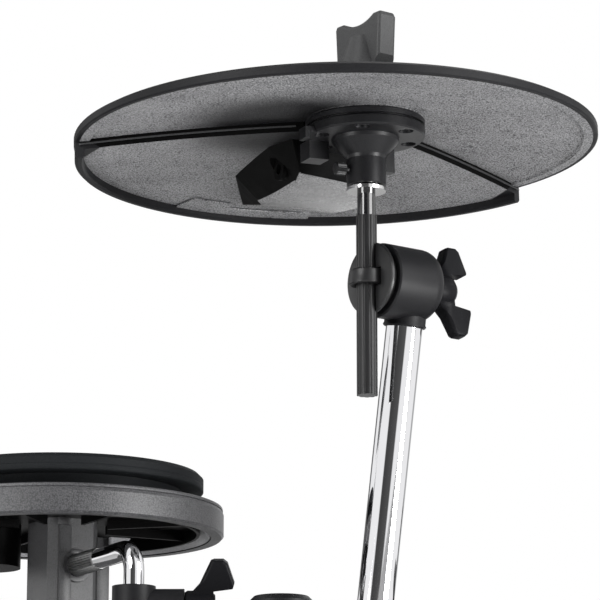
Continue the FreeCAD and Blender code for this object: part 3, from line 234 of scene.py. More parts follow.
def makeFinish(name, look):
    material = bpy.data.materials.new(name)
    material.use_nodes = True
    tree = material.node_tree
    shader = tree.nodes["Principled BSDF"]
    marks = tree.nodes.new("ShaderNodeGroup")
    marks.node_tree = handlingMarks
    marks.inputs["Scale"].default_value = look["marks"]
    tone = marks.outputs["Smudge"]
    if "grain" in look:
        grain = tree.nodes.new("ShaderNodeGroup")
        grain.node_tree = pebbleGrain
        grain.inputs["Scale"].default_value = look["grain"]
        tone = grain.outputs["Tone"]
        bump = tree.nodes.new("ShaderNodeBump")
        bump.inputs["Strength"].default_value = look["bump"]
        bump.inputs["Distance"].default_value = wear["grainDeep"]
        tree.links.new(grain.outputs["Height"], bump.inputs["Height"])
        tree.links.new(bump.outputs["Normal"], shader.inputs["Normal"])
    colour = mixColour(tree, tone, look["dark"], look["colour"])
    # painted shade about one spot
    if "paintedShade" in look:
        colour = paintShadeColour(tree, colour, look["paintedShade"])
    tree.links.new(colour, shader.inputs["Base Color"])
    spread = tree.nodes.new("ShaderNodeMapRange")
    spread.inputs["From Min"].default_value = wear["least"]
    spread.inputs["From Max"].default_value = wear["most"]
    spread.inputs["To Min"].default_value = look["rough"][0]
    spread.inputs["To Max"].default_value = look["rough"][1]
    smudge = maths(tree, "MULTIPLY", marks.outputs["Smudge"], wear["smudge"])
    scuff = maths(tree, "MULTIPLY", marks.outputs["Scuff"], wear["scuff"])
    tree.links.new(maths(tree, "ADD", smudge, scuff), spread.inputs["Value"])
    tree.links.new(spread.outputs[0], shader.inputs["Roughness"])
    shader.inputs["Metallic"].default_value = look.get("metal", 0.0)
    shader.inputs["Specular IOR Level"].default_value = look.get("specular", 0.5)
    shader.inputs["Coat Weight"].default_value = look.get("coat", 0.0)
    shader.inputs["Sheen Weight"].default_value = look.get("sheen", 0.0)
    material.diffuse_color = (*look["colour"], 1)
    return material


finish = {name: makeFinish(name, look) for name, look in finishes.items()}
print("finishes made:", len(finish))

# tools: shapes are drawn in millimetres and placed in metres
millimetres = Matrix.Scale(0.001, 4)
upwards = Vector((0, 0, 1))


def axes(origin, x, z=(0, 0, 1)):
    up = Vector(z).normalized()
    right = Vector(x).normalized()
    ahead = up.cross(right).normalized()
    place = Matrix((right, ahead, up)).transposed().to_4x4()
    place.translation = Vector(origin)
    return place


def move(x=0.0, y=0.0, z=0.0, spin=0.0, about="Z"):
    return Matrix.Translation((x, y, z)) @ Matrix.Rotation(math.radians(spin), 4, about)


alongX = Matrix.Rotation(math.radians(90), 4, "Y")  # turns +z to +x
alongY = Matrix.Rotation(math.radians(-90), 4, "X")  # turns +z to +y


# several values of one dictionary
def pick(settings, *keys):
    return [settings[key] for key in keys]


# profile of (radius, level) spun round z; a ring joins its last point to its first
def lathe(bm, profile, steps, place=Matrix(), ring=False):
    old = set(bm.verts)
    spots = [bm.verts.new((radius, 0, level)) for radius, level in profile]
    ends = spots[1:] + spots[:1] if ring else spots[1:]
    lines = [bm.edges.new(pair) for pair in zip(spots, ends)]
    bmesh.ops.spin(bm, geom=spots + lines, cent=(0, 0, 0), axis=(0, 0, 1), angle=math.tau, steps=steps,
                   use_merge=True)
    made = [vert for vert in bm.verts if vert not in old]
    bmesh.ops.transform(bm, matrix=place, verts=made)
    return made


# every other column of a lathe drawn in, for knurls and finger grips
def knurl(verts, place, steps, depth, beyond):
    back = place.inverted()
    for vert in verts:
        spot = back @ vert.co
        radius = math.hypot(spot.x, spot.y)
        column = round(math.atan2(spot.y, spot.x) / math.tau * steps)
        if radius > beyond and column % 2:
            spot.xy *= (radius - depth) / radius
            vert.co = place @ spot


def prism(bm, outline, low, high, place=Matrix()):
    old = set(bm.verts)
    face = bm.faces.new([bm.verts.new((x, y, low)) for x, y in outline])
    made = bmesh.ops.extrude_face_region(bm, geom=[face])
    top = [item for item in made["geom"] if isinstance(item, bmesh.types.BMVert)]
    bmesh.ops.translate(bm, vec=(0, 0, high - low), verts=top)
    made = [vert for vert in bm.verts if vert not in old]
    bmesh.ops.transform(bm, matrix=place, verts=made)
    return made


def slab(bm, middle, spans, place=Matrix()):
    shape = place @ Matrix.Translation(middle) @ Matrix.Diagonal((*spans, 1))
    return bmesh.ops.create_cube(bm, size=1.0, matrix=shape)["verts"]


mergeGap = 0.002  # millimetres


# merges a shape and turns its faces outwards
def settle(bm):
    bmesh.ops.remove_doubles(bm, verts=bm.verts, dist=mergeGap)
    bmesh.ops.recalc_face_normals(bm, faces=bm.faces)


def everyEdge(edge):
    return True


def roundOff(bm, offset, segments=3, angle=28.0, where=everyEdge):
    settle(bm)
    least = math.radians(angle)
    sharp = [edge for edge in bm.edges
             if edge.is_manifold and edge.calc_face_angle(0) > least and where(edge)]
    bmesh.ops.bevel(bm, geom=sharp, offset=offset, offset_type="OFFSET", segments=segments, profile=0.5,
                    affect="EDGES", clamp_overlap=True, material=-1)


def addPiece(name, mesh, material, body, angle, hides):
    for label in (material,) if isinstance(material, str) else material:
        mesh.materials.append(finish[label])
    mesh.shade_smooth()
    mesh.set_sharp_from_angle(angle=math.radians(angle))
    piece = bpy.data.objects.new(name, mesh)
    scene.collection.objects.link(piece)
    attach(piece, body)
    if hides:
        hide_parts(*hides)
    return piece


def finishPiece(name, bm, place, material, body, angle=30.0, hides=()):
    settle(bm)
    mesh = bpy.data.meshes.new(name)
    bm.to_mesh(mesh)
    bm.free()
    mesh.transform(place @ millimetres)
    return addPiece(name, mesh, material, body, angle, hides)


copyGap = 0.00001  # metres


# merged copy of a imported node, moved from its own station to another
def cadCopy(node, name, shift, material, body, angle=30.0, hides=()):
    bm = bmesh.new()
    bm.from_mesh(nodes[node].data)
    bmesh.ops.remove_doubles(bm, verts=bm.verts, dist=copyGap)
    bm.transform(shift)
    mesh = bpy.data.meshes.new(name)
    bm.to_mesh(mesh)
    bm.free()
    return addPiece(name, mesh, material, body, angle, hides)


def dress(node, *materials):
    mesh = nodes[node].data
    mesh.materials.clear()
    for material in materials:
        mesh.materials.append(finish[material])


# material slot of each face of a node, from a test of its middle and direction in a frame
def dressPart(node, place, test):
    mesh = nodes[node].data
    back = (place @ millimetres).inverted()
    turn = place.to_3x3().inverted()
    for face in mesh.polygons:
        face.material_index = int(test(back @ face.center, turn @ face.normal))


nodeFinish = {
    "chromeTube": ("rack_posts", "rack_bars", "crash_arm_tube", "tom1_rod", "tom2_rod", "snare_rod",
                   "tom3_rod", "module_bracket"),
    "clampBlack": ("corner_clamps", "rod_clamps", "post_caps", "pedal_bases"),
    "gripBlack": ("clamp_screws", "tom1_block_screw", "tom1_clamp_screw"),
    # painted light: the top nut is painted lighter where light falls on it from above
    "nutGrey": ("crash_top_nut",),
    "blockGrey": ("tom1_block",),
    "footRubber": ("rubber_feet", "kick_board", "hihat_board"),
    "plainSteel": ("corner_bolts", "crash_plate_screws", "tom1_sensor"),
    "padRubber": ("crash_cover",),
    "headRubber": ("tom1_head",),
    "shellSmooth": ("crash_cup", "crash_plate"),
    "chromeSeat": ("crash_seat",),
    "jackMetal": ("tom1_jack",),
    "mouldBlack": ("crash_jack",),
    "piezoBrass": ("crash_piezo",),
    "caseBlack": ("module_case", "module_bottom"),
    "boardGreen": ("module_board",),
    "screenBlack": ("module_screen",),
    "knobBlack": ("module_dial", "module_volume"),
    "buttonGrey": ("module_button_1", "module_button_2", "module_button_3"),
}
for material, members in nodeFinish.items():
    for node in members:
        dress(node, material)
print("nodes dressed")

bpy.context.view_layer.update()


# reach of a node along the axes of a frame, in millimetres
def extents(node, place):
    back = (place @ millimetres).inverted()
    spots = [back @ vert.co for vert in nodes[node].data.vertices]
    return [(min(spot[i] for spot in spots), max(spot[i] for spot in spots)) for i in range(3)]


# height of a node's upper face over a spot of a frame, in millimetres
def surfaceLevel(node, place, x, y, start=80.0):
    above = place @ millimetres @ Vector((x, y, start))
    down = (place.to_3x3() @ Vector((0, 0, -1))).normalized()
    hit, spot = nodes[node].ray_cast(above, down)[:2]
    return ((place @ millimetres).inverted() @ spot).z if hit else 0.0


# one shape cut out of another, both drawn in the same millimetres
def carve(bm, cutter):
    shapes = []
    for shape, label in ((bm, "carvedShape"), (cutter, "carvingTool")):
        settle(shape)
        mesh = bpy.data.meshes.new(label)
        shape.to_mesh(mesh)
        shape.free()
        shapes.append(bpy.data.objects.new(label, mesh))
        scene.collection.objects.link(shapes[-1])
    body, tool = shapes
    cut = body.modifiers.new("carve", "BOOLEAN")
    cut.operation = "DIFFERENCE"
    cut.object = tool
    bpy.context.view_layer.update()
    carved = bmesh.new()
    carved.from_object(body, bpy.context.evaluated_depsgraph_get())
    for item in shapes:
        mesh = item.data
        bpy.data.objects.remove(item)
        bpy.data.meshes.remove(mesh)
    return carved


# frames of a cymbal station, read from its joints
cymbal = {"ballLevel": 0.064, "padAboveBall": 0.0334}


def cymbalFrames(name):
    tilt = joints[name + "_tilt"]
    right = Vector(tilt["axis"])
    armWay = Vector(joints[name + "_arm_height"]["axis"])
    ball = Vector(joints[name + "_rock"]["pos_m"])
    padRight = Vector(joints[name + "_rock"]["axis"])
    padUp = padRight.cross(upwards.cross(padRight)).normalized()
    return {"head": axes(tilt["pos_m"], right, armWay), "level": axes(tilt["pos_m"], right),
            "rod": axes(ball - upwards * cymbal["ballLevel"], right),
            "pad": axes(ball + padUp * cymbal["padAboveBall"], padRight, padUp)}


# underside of the pad: shallow domes of the base and of the tray about the disc's middle
disc = {"middle": 40.5, "baseEdge": 150.0, "baseRise": 6.5, "baseLow": -5.0, "trayEdge": 154.0,
        "trayRise": 6.8, "trayLow": -11.3, "trayCorner": (153.0, 85.5), "trayStart": (18.0, 12.0)}


def domeLevel(x, y, edge, rise, low):
    bow = (edge ** 2 + rise ** 2) / (2 * rise)
    radius = min(math.hypot(x, y - disc["middle"]), bow)
    return low + rise - bow + math.sqrt(bow ** 2 - radius ** 2)


def baseLevel(x, y):
    return domeLevel(x, y, disc["baseEdge"], disc["baseRise"], disc["baseLow"])


def trayLevel(x, y):
    return domeLevel(x, y, disc["trayEdge"], disc["trayRise"], disc["trayLow"])


# jack pod: eight ridges from inside the tray to a smaller face below, with a recess for the socket
podShape = {
    "foot": ((-33, 36.8), (19.2, 42.3), (50.9, 67.6), (60.9, 111.2), (66.5, 219), (6.5, 217.7),
             (-36.9, 124.8), (-42, 60)),
    "face": ((-25, 40), (16, 52), (38, 74), (48, 108), (44, 128), (-8, 130), (-16, 120), (-18, 60)),
    "footLevel": 1.0, "faceLevel": -25.4, "sink": 1.2, "halvings": 24, "round": 4.2, "roundAngle": 14.0,
    "roundBelow": -16.0, "faceTurn": -0.72,
    "bend": {"from": 78.0, "long": 52.0, "rise": 3.0, "cuts": (80, 88, 96, 104, 112, 120), "near": 0.01},
}
jackBore = {"at": (-27.0, 66.0, -16.4), "recess": 7.1, "recessDeep": 2.4, "barrel": 5.6, "deep": 20.6,
            "ahead": 20.0, "inside": 24.0, "margin": 0.2, "steps": 48}


def podRidge(foot, face):
    rise = podShape["footLevel"] - podShape["faceLevel"]
    high, low = 0.0, 1.0
    for step in range(podShape["halvings"]):
        share = (high + low) / 2
        x, y = (a + (b - a) * share for a, b in zip(foot, face))
        level = podShape["footLevel"] - rise * share
        if level > trayLevel(x, y) + podShape["sink"]:
            high = share
        else:
            low = share
    return x, y, level


def makePod(name, place, body, hides):
    bm = bmesh.new()
    loops = []
    tops = [podRidge(foot, face) for foot, face in zip(podShape["foot"], podShape["face"])]
    lows = [(x, y, podShape["faceLevel"]) for x, y in podShape["face"]]
    for corners in (tops, lows):
        verts = [bm.verts.new(corner) for corner in corners]
        loops += [bm.edges.new(pair) for pair in zip(verts, verts[1:] + verts[:1])]
        bm.faces.new(verts)
    bmesh.ops.bridge_loops(bm, edges=loops)
    bend = podShape["bend"]
    for cut in bend["cuts"]:
        shape = [*bm.verts, *bm.edges, *bm.faces]
        bmesh.ops.bisect_plane(bm, geom=shape, plane_co=(0, cut, 0), plane_no=(0, 1, 0))
    for vert in bm.verts:  # far end of the face curls up to the rim
        if vert.co.z < podShape["faceLevel"] + bend["near"] and vert.co.y > bend["from"]:
            vert.co.z += bend["rise"] * ((vert.co.y - bend["from"]) / bend["long"]) ** 2
    roundOff(bm, podShape["round"], 4, podShape["roundAngle"],
             lambda edge: min(vert.co.z for vert in edge.verts) < podShape["roundBelow"])
    cutter = bmesh.new()
    seat = move(*jackBore["at"]) @ alongX
    recess, floorAt, bore = pick(jackBore, "recess", "recessDeep", "barrel")
    start, stop = -jackBore["ahead"], jackBore["deep"]
    lathe(cutter, [(0, start), (recess, start), (recess, floorAt), (bore, floorAt), (bore, stop), (0, stop)],
          jackBore["steps"], seat)
    carved = carve(bm, cutter)
    carved.normal_update()
    back = seat.inverted()
    # painted shade: the walls and the socket recess get the black finish, the downward face keeps the grain
    for face in carved.faces:  # grain on the face, black on the walls and in the socket
        spot = back @ face.calc_center_median()
        sunk = spot.z < jackBore["inside"] and math.hypot(spot.x, spot.y) < recess + jackBore["margin"]
        face.material_index = int(sunk or face.normal.z > podShape["faceTurn"])
    finishPiece(name, carved, place, ("podGrain", "mouldBlack"), body, angle=40.0, hides=hides)


# bead along the two straight steps between base and tray, and the raised edging at the far rim
stepBead = {"start": 0.13, "stop": 0.985, "drop": 2.9, "high": 0.9, "proud": 0.8, "steps": 30}
edging = {"outer": 153.6, "proud": 0.8, "bands": ((-16.6, -4.0, 134.5), (-4.0, 18.7, 142.0)), "steps": 20}


# gives a bent grid its thickness
def thicken(bm, verts, thickness):
    faces = list(dict.fromkeys(face for vert in verts for face in vert.link_faces))
    bmesh.ops.recalc_face_normals(bm, faces=faces)
    bmesh.ops.solidify(bm, geom=faces, thickness=thickness)


def makeStepBead(name, place, body):
    bm = bmesh.new()
    startX, startY = disc["trayStart"]
    cornerX, cornerY = disc["trayCorner"]
    reach = math.hypot(cornerX - startX, cornerY - startY)
    proud, start = pick(stepBead, "proud", "start")
    outX, outY = (cornerY - startY) / reach * proud, (startX - cornerX) / reach * proud
    for side in (1, -1):
        strip = bmesh.ops.create_grid(bm, x_segments=stepBead["steps"], y_segments=1, size=0.5)["verts"]
        for vert in strip:
            share = start + (stepBead["stop"] - start) * (vert.co.x + 0.5)
            x = startX + (cornerX - startX) * share
            y = startY + (cornerY - startY) * share
            level = baseLevel(x, y) - stepBead["drop"] + stepBead["high"] * vert.co.y
            vert.co = (side * (x + outX), y + outY, level)
        thicken(bm, strip, proud)
    # the bead is painted lighter grey, a painted highlight along the dark step
    finishPiece(name + "StepBead", bm, place, "nutGrey", body)


def makeEdging(name, place, body, shell):
    bm = bmesh.new()
    for first, last, inner in edging["bands"]:
        band = bmesh.ops.create_grid(bm, x_segments=edging["steps"], y_segments=3, size=0.5)["verts"]
        for vert in band:
            angle = math.radians(first + (last - first) * (vert.co.x + 0.5))
            radius = inner + (edging["outer"] - inner) * (vert.co.y + 0.5)
            x, y = radius * math.sin(angle), disc["middle"] + radius * math.cos(angle)
            vert.co = (x, y, trayLevel(x, y) - edging["proud"])
        thicken(bm, band, edging["proud"])
    finishPiece(name + "TrayEdging", bm, place, shell, body)


# knurled thumb screw that locks the cup, and the moulded rings on the upper face
thumb = {"from": (-20.6, 0.0, -31.9), "radius": 3.9, "long": 6.8, "edge": 0.7, "teeth": 36, "cut": 0.5,
         "shank": 2.2, "shankLong": 4.0}
strikeRings = {"radii": (70.0, 108.0, 146.0), "half": 0.9, "proud": 0.45, "sunk": 0.6, "steps": 160}
toothGap = 0.1  # a knurl reaches the columns within this of its radius


def makeThumb(name, place, body, hides):
    bm = bmesh.new()
    seat = move(*thumb["from"]) @ alongX
    radius, long, edge, shank = pick(thumb, "radius", "long", "edge", "shank")
    end = long + thumb["shankLong"]
    head = lathe(bm, [(0, 0), (radius - edge, 0), (radius, edge), (radius, long - edge),
                      (radius - edge, long), (shank, long), (shank, end), (0, end)], thumb["teeth"], seat)
    knurl(head, seat, thumb["teeth"], thumb["cut"], radius - toothGap)
    finishPiece(name, bm, place, "rodBlack", body, angle=20.0, hides=hides)


# low round bead on a flat face
def beadRing(bm, shape, radius, level, place=Matrix()):
    half, low, high = shape["half"], level - shape["sunk"], level + shape["proud"]
    lathe(bm, [(radius - half, low), (radius - half / 2, high), (radius + half / 2, high),
               (radius + half, low)], shape["steps"], place, ring=True)


def makeStrikeRings(name, cover, place, source, body):
    bm = bmesh.new()
    for radius in strikeRings["radii"]:
        level = surfaceLevel(cover, source, 0, disc["middle"] + radius)
        beadRing(bm, strikeRings, radius, level, move(0, disc["middle"], 0))
    finishPiece(name, bm, place, "padRubber", body, angle=50.0)


# eye bolt round the rod and felt washer under the top nut
eye = {"at": -32.0, "inner": 6.55, "outer": 10.5, "half": 4.5, "round": 0.9, "shank": 4.0, "overlap": 1.0,
       "end": 23.0, "steps": 64, "shankSteps": 40}
washer = {"low": 119.0, "high": 120.9, "inner": 4.1, "outer": 15.0, "edge": (0.8, 0.5), "steps": 90,
          "fray": 0.012, "frayBand": 0.9, "waves": (17, 5, 3)}


def makeEye(name, place, body, hides):
    bm = bmesh.new()
    inner, outer, half, shank = pick(eye, "inner", "outer", "half", "shank")
    lathe(bm, [(inner, -half), (outer, -half), (outer, half), (inner, half)], eye["steps"], move(eye["at"]),
          ring=True)
    roundOff(bm, eye["round"])
    start = eye["at"] + outer - eye["overlap"]
    long = eye["end"] - start
    lathe(bm, [(0, 0), (shank, 0), (shank, long), (0, long)], eye["shankSteps"], move(start) @ alongX)
    finishPiece(name, bm, place, "rodBlack", body, hides=hides)


def makeFelt(name, place, body, hides):
    bm = bmesh.new()
    low, high, inner, outer = pick(washer, "low", "high", "inner", "outer")
    wide, tall = washer["edge"]
    lathe(bm, [(inner, low), (outer - wide, low), (outer, low + tall), (outer, high - tall),
               (outer - wide, high), (inner, high)], washer["steps"], ring=True)
    fine, broad, drift = washer["waves"]
    for vert in bm.verts:  # frayed round edge
        angle = math.atan2(vert.co.y, vert.co.x)
        if math.hypot(vert.co.x, vert.co.y) > outer - washer["frayBand"]:
            wave = math.sin(angle * fine) * math.sin(angle * broad + vert.co.z * drift)
            vert.co.xy *= 1 - washer["fray"] * (1 + wave)
    piece = finishPiece(name, bm, place, "feltBlack", body, angle=60.0, hides=hides)


# tilter: barrel on the arm with a short collar, and the grooved disc that grips the rod
barrel = {"left": -23.6, "right": 14.0, "radius": 22.4, "shoulder": 9.5, "shoulderSteps": 7, "bore": 4.4,
          "edge": 0.9, "pocket": (8.6, -20.6), "steps": 96}
collar = {"inner": 11.25, "outer": 12.5, "lip": 13.0, "low": -25.4, "lipHigh": 2.2, "high": -14.0,
          "edge": 0.8, "steps": 72}
gripDisc = {"face": -30.2, "rim": -27.3, "neck": -23.9, "radius": 21.8, "neckRadius": 18.4, "edge": 1.2,
            "bulge": 0.3, "rimEdge": 0.8, "rodAt": -32.0, "channel": 6.6, "channelHalf": 40.0,
            "slot": ((-27.0, 0.0, 0.0), (13.0, 22.6, 10.6)), "steps": 96, "channelSteps": 48}
armTube = {"outer": 11.1, "inner": 9.6, "top": -17.0, "steps": 96}
nutLean = -27.0  # degrees, as the wing nut of the tilter was left


def makeBarrel(name, place, body, hides):
    bm = bmesh.new()
    left, right, radius, shoulder = pick(barrel, "left", "right", "radius", "shoulder")
    edge, bore = pick(barrel, "edge", "bore")
    pocket, floorAt = barrel["pocket"]
    profile = [(bore, floorAt), (pocket, floorAt), (pocket, left), (radius - edge, left),
               (radius, left + edge)]
    for step in range(barrel["shoulderSteps"] + 1):
        angle = math.pi / 2 * step / barrel["shoulderSteps"]
        across, along = shoulder * math.cos(angle), shoulder * math.sin(angle)
        profile.append((radius - shoulder + across, right - shoulder + along))
    lathe(bm, profile + [(bore, right)], barrel["steps"], alongX, ring=True)
    inner, outer, lip, edge = pick(collar, "inner", "outer", "lip", "edge")
    low, high = pick(collar, "low", "high")
    lipTop = low + collar["lipHigh"]
    lathe(bm, [(inner, low), (lip - edge, low), (lip, low + edge), (lip, lipTop - edge), (outer, lipTop),
               (outer, high), (inner, high)], collar["steps"], ring=True)
    finishPiece(name, bm, place, "clampBlack", body, angle=40.0, hides=hides)


def makeGripDisc(name, place, body, hides):
    bm = bmesh.new()
    face, rim, neck, radius, edge = pick(gripDisc, "face", "rim", "neck", "radius", "edge")
    neckRadius, bulge, rimEdge = gripDisc["neckRadius"], edge * gripDisc["bulge"], gripDisc["rimEdge"]
    lathe(bm, [(0, face), (radius - edge, face), (radius - bulge, face + bulge), (radius, face + edge),
               (radius, rim - rimEdge), (radius - rimEdge, rim), (neckRadius, rim), (neckRadius, neck),
               (0, neck)], gripDisc["steps"], alongX)
    groove = bmesh.new()  # the rod lies in it
    wide, half = pick(gripDisc, "channel", "channelHalf")
    lathe(groove, [(0, -half), (wide, -half), (wide, half), (0, half)], gripDisc["channelSteps"],
          move(gripDisc["rodAt"]))
    slot = bmesh.new()  # room for the eye bolt
    slab(slot, *gripDisc["slot"])
    for cutter in (groove, slot):
        bm = carve(bm, cutter)
    finishPiece(name, bm, place, "rodBlack", body, angle=40.0, hides=hides)


def makeTube(name, node, place, body):
    bm = bmesh.new()
    low = extents(node, place)[2][0]
    inner, outer, top = pick(armTube, "inner", "outer", "top")
    lathe(bm, [(inner, low), (outer, low), (outer, top), (inner, top)], armTube["steps"], ring=True)
    finishPiece(name, bm, place, "chromeTube", body, angle=40.0, hides=(node,))


def leanNut(place):
    return place @ Matrix.Rotation(math.radians(nutLean), 4, "X") @ place.inverted()


# moulding of a cymbal pad: grey grain, with painted shade beside the plate
shellLook = {"colour": (0.33, 0.33, 0.337), "dark": (0.045, 0.045, 0.048), "rough": (0.42, 0.56),
             "marks": 24.0, "grain": 980.0, "bump": 0.45, "specular": 0.45}
# painted shade: a darker colour painted round a spot beside the plate, where the plate and cup shade the
# underside
shellPaintedShade = {"at": (-42.0, 20.0, -4.0), "near": 0.033, "far": 0.082, "colour": (0.006, 0.006, 0.007)}


def shellFinish(name, place):
    spot = place @ millimetres @ Vector(shellPaintedShade["at"])
    finish[name] = makeFinish(name, dict(shellLook, paintedShade=dict(shellPaintedShade, at=spot)))
    return name


padCopies = {"cover": "padRubber", "jack": "mouldBlack", "plate": "shellSmooth", "cup": "shellSmooth",
             "piezo": "piezoBrass", "plate_screws": "plainSteel"}
rodCopies = {"rod": ("rodBlack", "neckGloss"), "seat": "chromeSeat", "top_nut": "nutGrey"}
trayWall = {"turn": 0.6, "lip": 149.4}


# tray finishes: grain on the face, painted shade in black on the step walls, rubber round the lip
def trayPart(spot, way):
    if math.hypot(spot.x, spot.y - disc["middle"]) > trayWall["lip"]:
        return 2
    return abs(way.z) < trayWall["turn"]


rodFlutedTop = 38.0

home = cymbalFrames("crash")
dress("crash_rod", "rodBlack", "neckGloss")
dressPart("crash_rod", home["rod"], lambda spot, way: spot.z > rodFlutedTop)
for name in ("crash", "ride", "hihat"):
    frames = cymbalFrames(name)
    first = name == "crash"
    grip = "crash_grip" if first else name + "_rod"
    pad, rod, arm = name + "_pad", name + "_rod", name + "_arm"
    shell = shellFinish(name + "Shell", frames["pad"])
    makePod(name + "Pod", frames["pad"], pad, ("crash_pod",) if first else (pad,))
    makeThumb(name + "ThumbScrew", frames["pad"], pad, ("crash_thumb_screw",) if first else ())
    makeStepBead(name, frames["pad"], pad)
    makeEdging(name, frames["pad"], pad, shell)
    makeStrikeRings(name + "StrikeRings", "crash_cover", frames["pad"], home["pad"], pad)
    makeEye(name + "EyeBolt", frames["level"], grip, ("crash_eye_bolt",) if first else (rod,))
    makeGripDisc(name + "GripDisc", frames["level"], grip, ("crash_grip_disc",) if first else ())
    makeFelt(name + "Felt", frames["rod"], rod, ("crash_felt",) if first else ())
    makeBarrel(name + "Tilter", frames["head"], arm, ("crash_tilter",) if first else ())
    if first:
        dress("crash_base", shell)
        dress("crash_tray", shell, "mouldBlack", "padRubber")
        dressPart("crash_tray", frames["pad"], trayPart)
        cadCopy("crash_tilter_nut", "crashTilterNut", leanNut(frames["head"]), "gripBlack",
                "crash_tilter_nut", hides=("crash_tilter_nut",))
        continue
    shift = {key: frames[key] @ home[key].inverted() for key in frames}
    cadCopy("crash_base", name + "_base", shift["pad"], shell, pad)
    cadCopy("crash_tray", name + "_tray", shift["pad"], (shell, "mouldBlack", "padRubber"), pad)
    for label, material in padCopies.items():
        cadCopy("crash_" + label, name + "_" + label, shift["pad"], material, pad)
    for label, material in rodCopies.items():
        cadCopy("crash_" + label, name + "_" + label, shift["rod"], material, rod)
    cadCopy("crash_tilter_nut", name + "TilterNut", leanNut(frames["head"]) @ shift["head"], "gripBlack", arm)
    makeTube(name + "ArmTube", arm, frames["head"], arm)
print("cymbal stations made")

# frames of a drum station: the knee of its bent rod and the pad on the level leg
drum = {"padAboveLeg": 0.020, "panEdge": 92.8, "panTop": 13.0}


def drumFrames(name):
    tilt = joints[name + "_tilt"]
    right = Vector(tilt["axis"]).cross(upwards)
    return {"knee": axes(joints[name + "_swivel"]["pos_m"], right),
            "pad": axes(Vector(tilt["pos_m"]) + upwards * drum["padAboveLeg"], right)}


# bead and deeper skirt of the head
headBead = {"radius": 80.0, "half": 1.2, "proud": 0.55, "sunk": 0.8, "level": 39.06, "steps": 144}
headSkirt = {"outer": 88.0, "inner": 75.2, "high": 33.0, "low": 28.4, "round": 0.8, "lean": 0.6, "lip": 0.4,
             "steps": 144}


def makeHeadTrim(name, place, body):
    bm = bmesh.new()
    beadRing(bm, headBead, headBead["radius"], headBead["level"])
    inner, outer, low, high = pick(headSkirt, "inner", "outer", "low", "high")
    turn = headSkirt["round"]
    lathe(bm, [(outer - headSkirt["lean"], high), (outer, high - turn), (outer, low + turn),
               (outer - turn, low), (inner, low), (inner, low + headSkirt["lip"])],
          headSkirt["steps"], ring=True)
    finishPiece(name + "HeadBead", bm, place, "headRubber", body, angle=50.0)


# low bead on the rim
rimBead = {"outer": 100.3, "inner": 94.0, "rise": 1.5, "sink": 0.6, "round": 0.9, "bulge": 0.3, "steps": 144}


def makeRimBead(name, place, body):
    bm = bmesh.new()
    base = extents("tom1_shell", homeDrum["pad"])[2][1]
    inner, outer, turn = pick(rimBead, "inner", "outer", "round")
    low, top, bulge = base - rimBead["sink"], base + rimBead["rise"], turn * rimBead["bulge"]
    lathe(bm, [(outer, low), (outer, top - turn), (outer - bulge, top - bulge), (outer - turn, top),
               (inner, top), (inner, low)], rimBead["steps"], ring=True)
    finishPiece(name + "RimBead", bm, place, "drumShell", body, angle=50.0)


# ledge inside the rim, painted pale as a painted reflection of the glossy inner wall
ledge = {"profile": ((92.2, 0.6), (87.4, 7.6), (88.8, 8.4), (92.8, 1.5)), "steps": 144}


def makeLedge(name, place, body):
    bm = bmesh.new()
    lathe(bm, ledge["profile"], ledge["steps"], ring=True)
    finishPiece(name + "RimLedge", bm, place, "ribGrey", body, angle=40.0)


# collar, cheek, flank and tab of the clamp block; the tab is painted pale as painted light where it falls in
# shadow
blockTrim = {"face": -20.0, "leg": -20.0, "collarInner": 6.7, "collarOuter": 10.4, "collarThick": 2.2,
             "collarSunk": 0.4, "collarSteps": 48, "cheek": ((-7.8, -21.0, -28.0), (8.4, 2.4, 66.0)),
             "flank": ((20.6, -3.0, -30.5), (8.8, 27.0, 60.0)), "round": 0.6,
             "tab": ((23.0, -0.5), (37.0, -0.5), (28.5, -9.5), (23.0, -14.0)), "tabBehind": 1.0,
             "tabReach": (-0.5, 3.4)}


def makeBlockTrim(name, place, body):
    bm = bmesh.new()
    face = blockTrim["face"]
    inner, outer = pick(blockTrim, "collarInner", "collarOuter")
    low, high = -blockTrim["collarThick"], blockTrim["collarSunk"]
    lathe(bm, [(inner, low), (outer, low), (outer, high), (inner, high)], blockTrim["collarSteps"],
          move(0, face, blockTrim["leg"]) @ alongY, ring=True)
    slab(bm, *blockTrim["cheek"])
    slab(bm, *blockTrim["flank"])
    roundOff(bm, blockTrim["round"], 2)
    finishPiece(name + "BlockTrim", bm, place, "blockGrey", body)
    bm = bmesh.new()
    upright = move(0, face + blockTrim["tabBehind"], 0, 90, "X")
    prism(bm, blockTrim["tab"], *blockTrim["tabReach"], upright)
    roundOff(bm, blockTrim["round"], 2)
    finishPiece(name + "BlockTab", bm, place, "ribGrey", body)


# knurled sleeve on the level leg of the bent rod
sleeve = {"inner": 6.2, "radius": 7.0, "long": 34.0, "edge": 0.6, "rows": (0.3, 0.7), "teeth": 56, "cut": 0.6,
          "clear": 2.4}


def makeSleeve(name, knee, pad, body):
    bm = bmesh.new()
    reach = ((knee @ millimetres).inverted() @ pad.translation).y
    inner, radius, long, edge = pick(sleeve, "inner", "radius", "long", "edge")
    near, far = (long * share for share in sleeve["rows"])
    seat = move(0, reach + blockTrim["face"] - sleeve["clear"] - long, 0) @ alongY
    ridge = lathe(bm, [(inner, 0), (radius - edge, 0), (radius, edge), (radius, near), (radius, far),
                       (radius, long - edge), (radius - edge, long), (inner, long)], sleeve["teeth"], seat,
                  ring=True)
    knurl(ridge, seat, sleeve["teeth"], sleeve["cut"], radius - toothGap)
    finishPiece(name + "RodSleeve", bm, knee, "sleeveSteel", body, angle=12.0)


